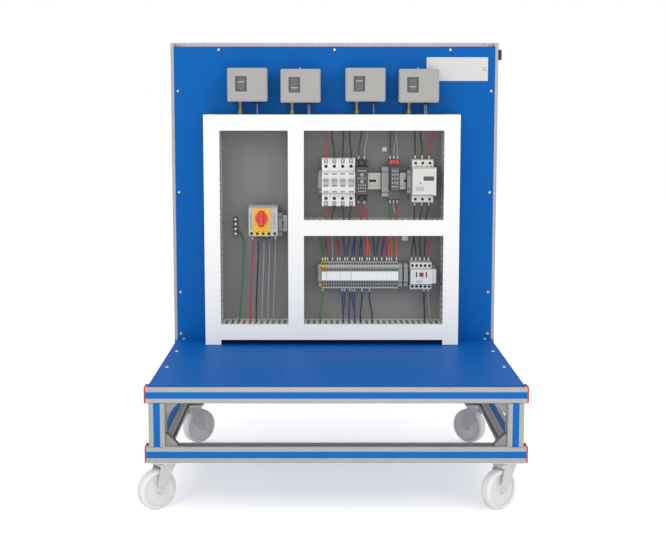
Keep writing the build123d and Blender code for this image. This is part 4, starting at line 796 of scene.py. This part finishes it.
# Contactor: a light grey case with five screws above and five below, two black marks beside the
# plunger that shows its state, and an auxiliary contact block clipped to its right side.
CONTACTOR_STEP = 0.015
CONTACTOR_MIDDLE = 0.0225
CONTACTOR_PITCH = 0.009
CONTACTOR_WELL = 0.0031
CONTACTOR_BORE = 0.0026
CONTACTOR_WELL_INSET = 0.00625
STATE_MARK = (0.0014, 0.0058)
STATE_MARK_FLARE = 2.2
STATE_MARK_OFFSET = 0.0105
CONTACTOR_LINE = (0.007, 0.0004)
CONTACTOR_LINES = 3
CONTACTOR_LINE_STEP = 0.0019
CONTACTOR_LINES_PLACE = (-0.004, -0.0165)
dress(["contactor"], moulded("moulded_contactor_grey", "DADAD6", 0.42))
dress(["contactor_plunger"], moulded("moulded_plunger_dark_red", "8A1B20", 0.4))
low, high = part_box("contactor")
contactor_x = low.x + CONTACTOR_MIDDLE
well_levels = (low.z + CONTACTOR_WELL_INSET, high.z - CONTACTOR_WELL_INSET)
well_xs = [contactor_x + i * CONTACTOR_PITCH for i in range(-2, 3)]
places = [(x, low.y + CONTACTOR_STEP, z) for x in well_xs for z in well_levels]
# The contactor's screw wells are near-black in painted shade.
well = well_mouth(CONTACTOR_WELL, CONTACTOR_BORE)
set_out(well, places, "contactor_screw_wells", SCREW_WELL_SHADE)
plunger_low, plunger_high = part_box("contactor_plunger")
plunger_z = (plunger_low.z + plunger_high.z) / 2
mark = printed_bar(*STATE_MARK)
edit_faces(mark, lambda normal: abs(normal.z) > SQUARELY)
bpy.ops.transform.resize(value=(STATE_MARK_FLARE, 1, 1))
places = [(contactor_x + side * STATE_MARK_OFFSET, low.y, plunger_z) for side in (-1, 1)]
MARK_BLACK = moulded("printed_black_mark", "1A1A1C", 0.4)
set_out(mark, places, "contactor_state_marks", MARK_BLACK)
rating = repeat(printed_bar(*CONTACTOR_LINE), CONTACTOR_LINES, (0, 0, CONTACTOR_LINE_STEP))
places = [(contactor_x + CONTACTOR_LINES_PLACE[0], low.y, plunger_z + CONTACTOR_LINES_PLACE[1])]
set_out(rating, places, "contactor_rating_lines", PRINT_GREY)


# Rail terminals: a row of narrow grey polyamide blocks with two wire entries above and two below,
# white marker strips over their noses and a yellow bridge. The first two, for earth, are green
# with yellow shoulders.
TERMINAL_PITCH = 0.0053
TERMINAL_GAP = 0.0003
EARTH_EDGE = 0.010
DIVIDER_SHARE = 0.09
ENTRY_HALF = (0.0019, 0.0023)
ENTRY_DEPTHS = (-0.0005, 0.0016)
ENTRY_RIM = 0.0004
BRIDGE_END = 0.054
BRIDGE_INSET = 0.0004
BRIDGE_RISES = (0.0001, 0.0013)
# Each row of wire entries: how far it lies behind the noses, and its height from the middle.
ENTRY_ROWS = ((0.012, 0.0250), (0.0, 0.0136), (0.0, -0.0128), (0.012, -0.0225))
dress(["terminal_blocks"], moulded("moulded_terminal_grey", "BEC0BD", 0.45))
dress(["end_clamps"], moulded("moulded_clamp_grey", "A6A6A2", 0.5))
low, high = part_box("terminal_blocks")
earth_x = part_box("earth_terminals")[0].x
strip_z = (low.z + high.z) / 2

EARTH_PLASTIC, tree, shader, where = new_material("moulded_terminal_green_yellow", roughness=0.45)
z = add(tree, "ShaderNodeSeparateXYZ", {"Vector": where}).outputs["Z"]
away = worked(tree, "ABSOLUTE", worked(tree, "SUBTRACT", z, strip_z))
outer = worked(tree, "GREATER_THAN", away, EARTH_EDGE)
two_tone(tree, shader, outer, linear("2E9650"), linear("DDBB28"))
dress(["earth_terminals"], EARTH_PLASTIC)

MARKER_PLASTIC, tree, shader, where = new_material("moulded_marker_white", roughness=0.4)
x = add(tree, "ShaderNodeSeparateXYZ", {"Vector": where}).outputs["X"]
along = worked(tree, "DIVIDE", worked(tree, "SUBTRACT", x, low.x), TERMINAL_PITCH)
line = worked(tree, "LESS_THAN", worked(tree, "FRACT", along), DIVIDER_SHARE)
two_tone(tree, shader, line, linear("F4F4F2"), linear("C4C6C4"))
dress(["marker_strips"], MARKER_PLASTIC)

terminal_count = round((high.x - earth_x) / TERMINAL_PITCH)
# The wire entries are near-black in painted shade.
entry = bevelled_block(
    (-ENTRY_HALF[0], ENTRY_DEPTHS[0], -ENTRY_HALF[1]),
    (ENTRY_HALF[0], ENTRY_DEPTHS[1], ENTRY_HALF[1]),
    MARK_BEVEL,
    segments=1,
)
front_faces(entry)
bpy.ops.mesh.inset(thickness=ENTRY_RIM)
push(ENTRY_RIM)
entries = repeat(entry, terminal_count, (TERMINAL_PITCH, 0, 0))
first_x = earth_x + (TERMINAL_PITCH - TERMINAL_GAP) / 2
places = [(first_x, low.y + back, strip_z + rise) for back, rise in ENTRY_ROWS]
set_out(entries, places, "terminal_wire_entries", GAP_SHADE)
marker_low, marker_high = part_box("marker_strips")
bridge = bevelled_block(
    (low.x, marker_low.y + BRIDGE_INSET, marker_high.z + BRIDGE_RISES[0]),
    (BRIDGE_END, low.y, marker_high.z + BRIDGE_RISES[1]),
    MARK_BEVEL,
)
settle(bridge, "terminal_bridge_yellow", YELLOW)


# Earth bar: a dark oxidised brass bar screwed to the back plate, with four bright plated studs
# that stand out of its face.
BAR_FACE = 0.0081
EARTH_BAR = bare_metal("oxidised_brass_bar", "4A463C", 0.45, 0.6)
tree, shader, where, brass = opened(EARTH_BAR)
y = add(tree, "ShaderNodeSeparateXYZ", {"Vector": where}).outputs["Y"]
stud = worked(tree, "LESS_THAN", y, plate_front - BAR_FACE)
two_tone(tree, shader, stud, brass, linear("C9C7C0"))
dress(["earth_bar"], EARTH_BAR)


# Pressure switches: pressed steel housings with warm grey moulded covers, a printed range scale in
# each window, brass flare fittings and rubber glands below.
PRESSURE_XS = (-0.183, -0.0715, 0.0645, 0.1765)
PRESSURE_DROPS = (0.0, 0.0022, 0.0, 0.0022)
SCALE_OFFSET = -0.013
SCALE_DROP = 0.033
PRINT_DEPTHS = (-0.0003, 0.0002)
PRINT_BEVEL = 0.0001
LINE_OFFSET = 0.0062
LINE_HALF = (0.0004, 0.0135)
TICK_OFFSET = 0.0022
TICK_REACH = (0.002, 0.0022)
TICK_LEVELS = (-0.0124, -0.0117)
TICK_STEP = 0.0022
SCALE_TICKS = 12
POINTER_LOW = (-0.0072, -0.0007, -0.0006)
POINTER_HIGH = (0.0072, -0.0003, 0.0006)
POINTER_RISES = (0.004, -0.006, 0.006, -0.004)
dress(["pressure_switch_housings"], bare_metal("pressed_steel_housing", "A6A49E", 0.4, 0.7))
dress(["pressure_switch_covers"], moulded("moulded_cover_warm_grey", "A6A5A2", 0.45))
dress(["pressure_switch_scales"], moulded("printed_scale_dark", "3F4541", 0.35))
dress(["pressure_switch_fittings"], bare_metal("turned_brass_tarnished", "94805A", 0.4, 0.7))
dress(["pressure_switch_glands"], moulded("moulded_rubber_black", "222224", 0.65))
dress(["setting_spindle_1", "setting_spindle_2"], bare_metal("turned_steel", "A0A09E", 0.3))
scale_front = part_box("pressure_switch_scales")[0].y
cover_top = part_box("pressure_switch_covers")[1].z
near, far = PRINT_DEPTHS
marks = []
for side in (-1, 1):
    line_x, tick_x = side * LINE_OFFSET, side * TICK_OFFSET
    line = bevelled_block(
        (line_x - LINE_HALF[0], near, -LINE_HALF[1]),
        (line_x + LINE_HALF[0], far, LINE_HALF[1]),
        PRINT_BEVEL,
    )
    tick = bevelled_block(
        (tick_x - TICK_REACH[0], near, TICK_LEVELS[0]),
        (tick_x + TICK_REACH[1], far, TICK_LEVELS[1]),
        PRINT_BEVEL,
    )
    marks += [line, repeat(tick, SCALE_TICKS, (0, 0, TICK_STEP))]
only(marks[0])
for mark in marks:
    mark.select_set(True)
bpy.ops.object.join()
scale_places = []
for x, drop in zip(PRESSURE_XS, PRESSURE_DROPS):
    scale_places.append((x + SCALE_OFFSET, scale_front, cover_top - drop - SCALE_DROP))
set_out(marks[0], scale_places, "pressure_switch_scale_marks", PRINT_GREY)
pointer = bevelled_block(POINTER_LOW, POINTER_HIGH, MARK_BEVEL)
places = [(x, y, z + rise) for (x, y, z), rise in zip(scale_places, POINTER_RISES)]
set_out(pointer, places, "pressure_switch_pointers", MARK_PALE)


# Leads: stranded copper in smooth PVC insulation, gripped in moulded ferrules. The solid leads have
# a four-sided section, so each is rounded here on its own line and filled to its real thickness.
LEAD_FILL = 0.00095
FERRULE_FILL = 0.0009
MERGE_UNDER = 0.00001
ROUNDING_LEVELS = 2
LEAD_COLOURS = {
    "green": "12884A",
    "red": "C81E46",
    "black": "2C2C30",
    "grey": "9C9C9E",
    "blue": "3A3C74",
    "orange": "FA5A14",
}


def rounded_copy(node, name, fill, material):
    """A merged copy of a four-sided node, filled out and subdivided until it is round."""
    piece = copy_of(nodes[node])
    for key in list(piece.keys()):
        del piece[key]
    piece.parent = None
    only(piece)
    bpy.ops.object.mode_set(mode="EDIT")
    bpy.ops.mesh.select_all(action="SELECT")
    bpy.ops.mesh.remove_doubles(threshold=MERGE_UNDER)
    bpy.ops.mesh.tris_convert_to_quads()
    bpy.ops.transform.shrink_fatten(value=fill)
    only(piece)
    smooth = piece.modifiers.new("round", "SUBSURF")
    smooth.levels = ROUNDING_LEVELS
    smooth.render_levels = ROUNDING_LEVELS
    bpy.ops.object.modifier_apply(modifier="round")
    bpy.ops.object.shade_smooth()
    settle(piece, name, material, stands_for=[node])


for colour, code in LEAD_COLOURS.items():
    solid = colour + "_leads"
    insulation = moulded("pvc_insulation_" + colour, code, 0.38)
    dress([solid], insulation)
    rounded_copy(solid, colour + "_insulated_leads", LEAD_FILL, insulation)
FERRULE_PLASTIC = moulded("moulded_ferrule_white", "EDEDEC", 0.4)
dress(["lead_ferrules"], FERRULE_PLASTIC)
SLEEVES = "lead_ferrule_sleeves"
rounded_copy("lead_ferrules", SLEEVES, FERRULE_FILL, FERRULE_PLASTIC)

# The box around everything the render shows, the floor left out.
low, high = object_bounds()
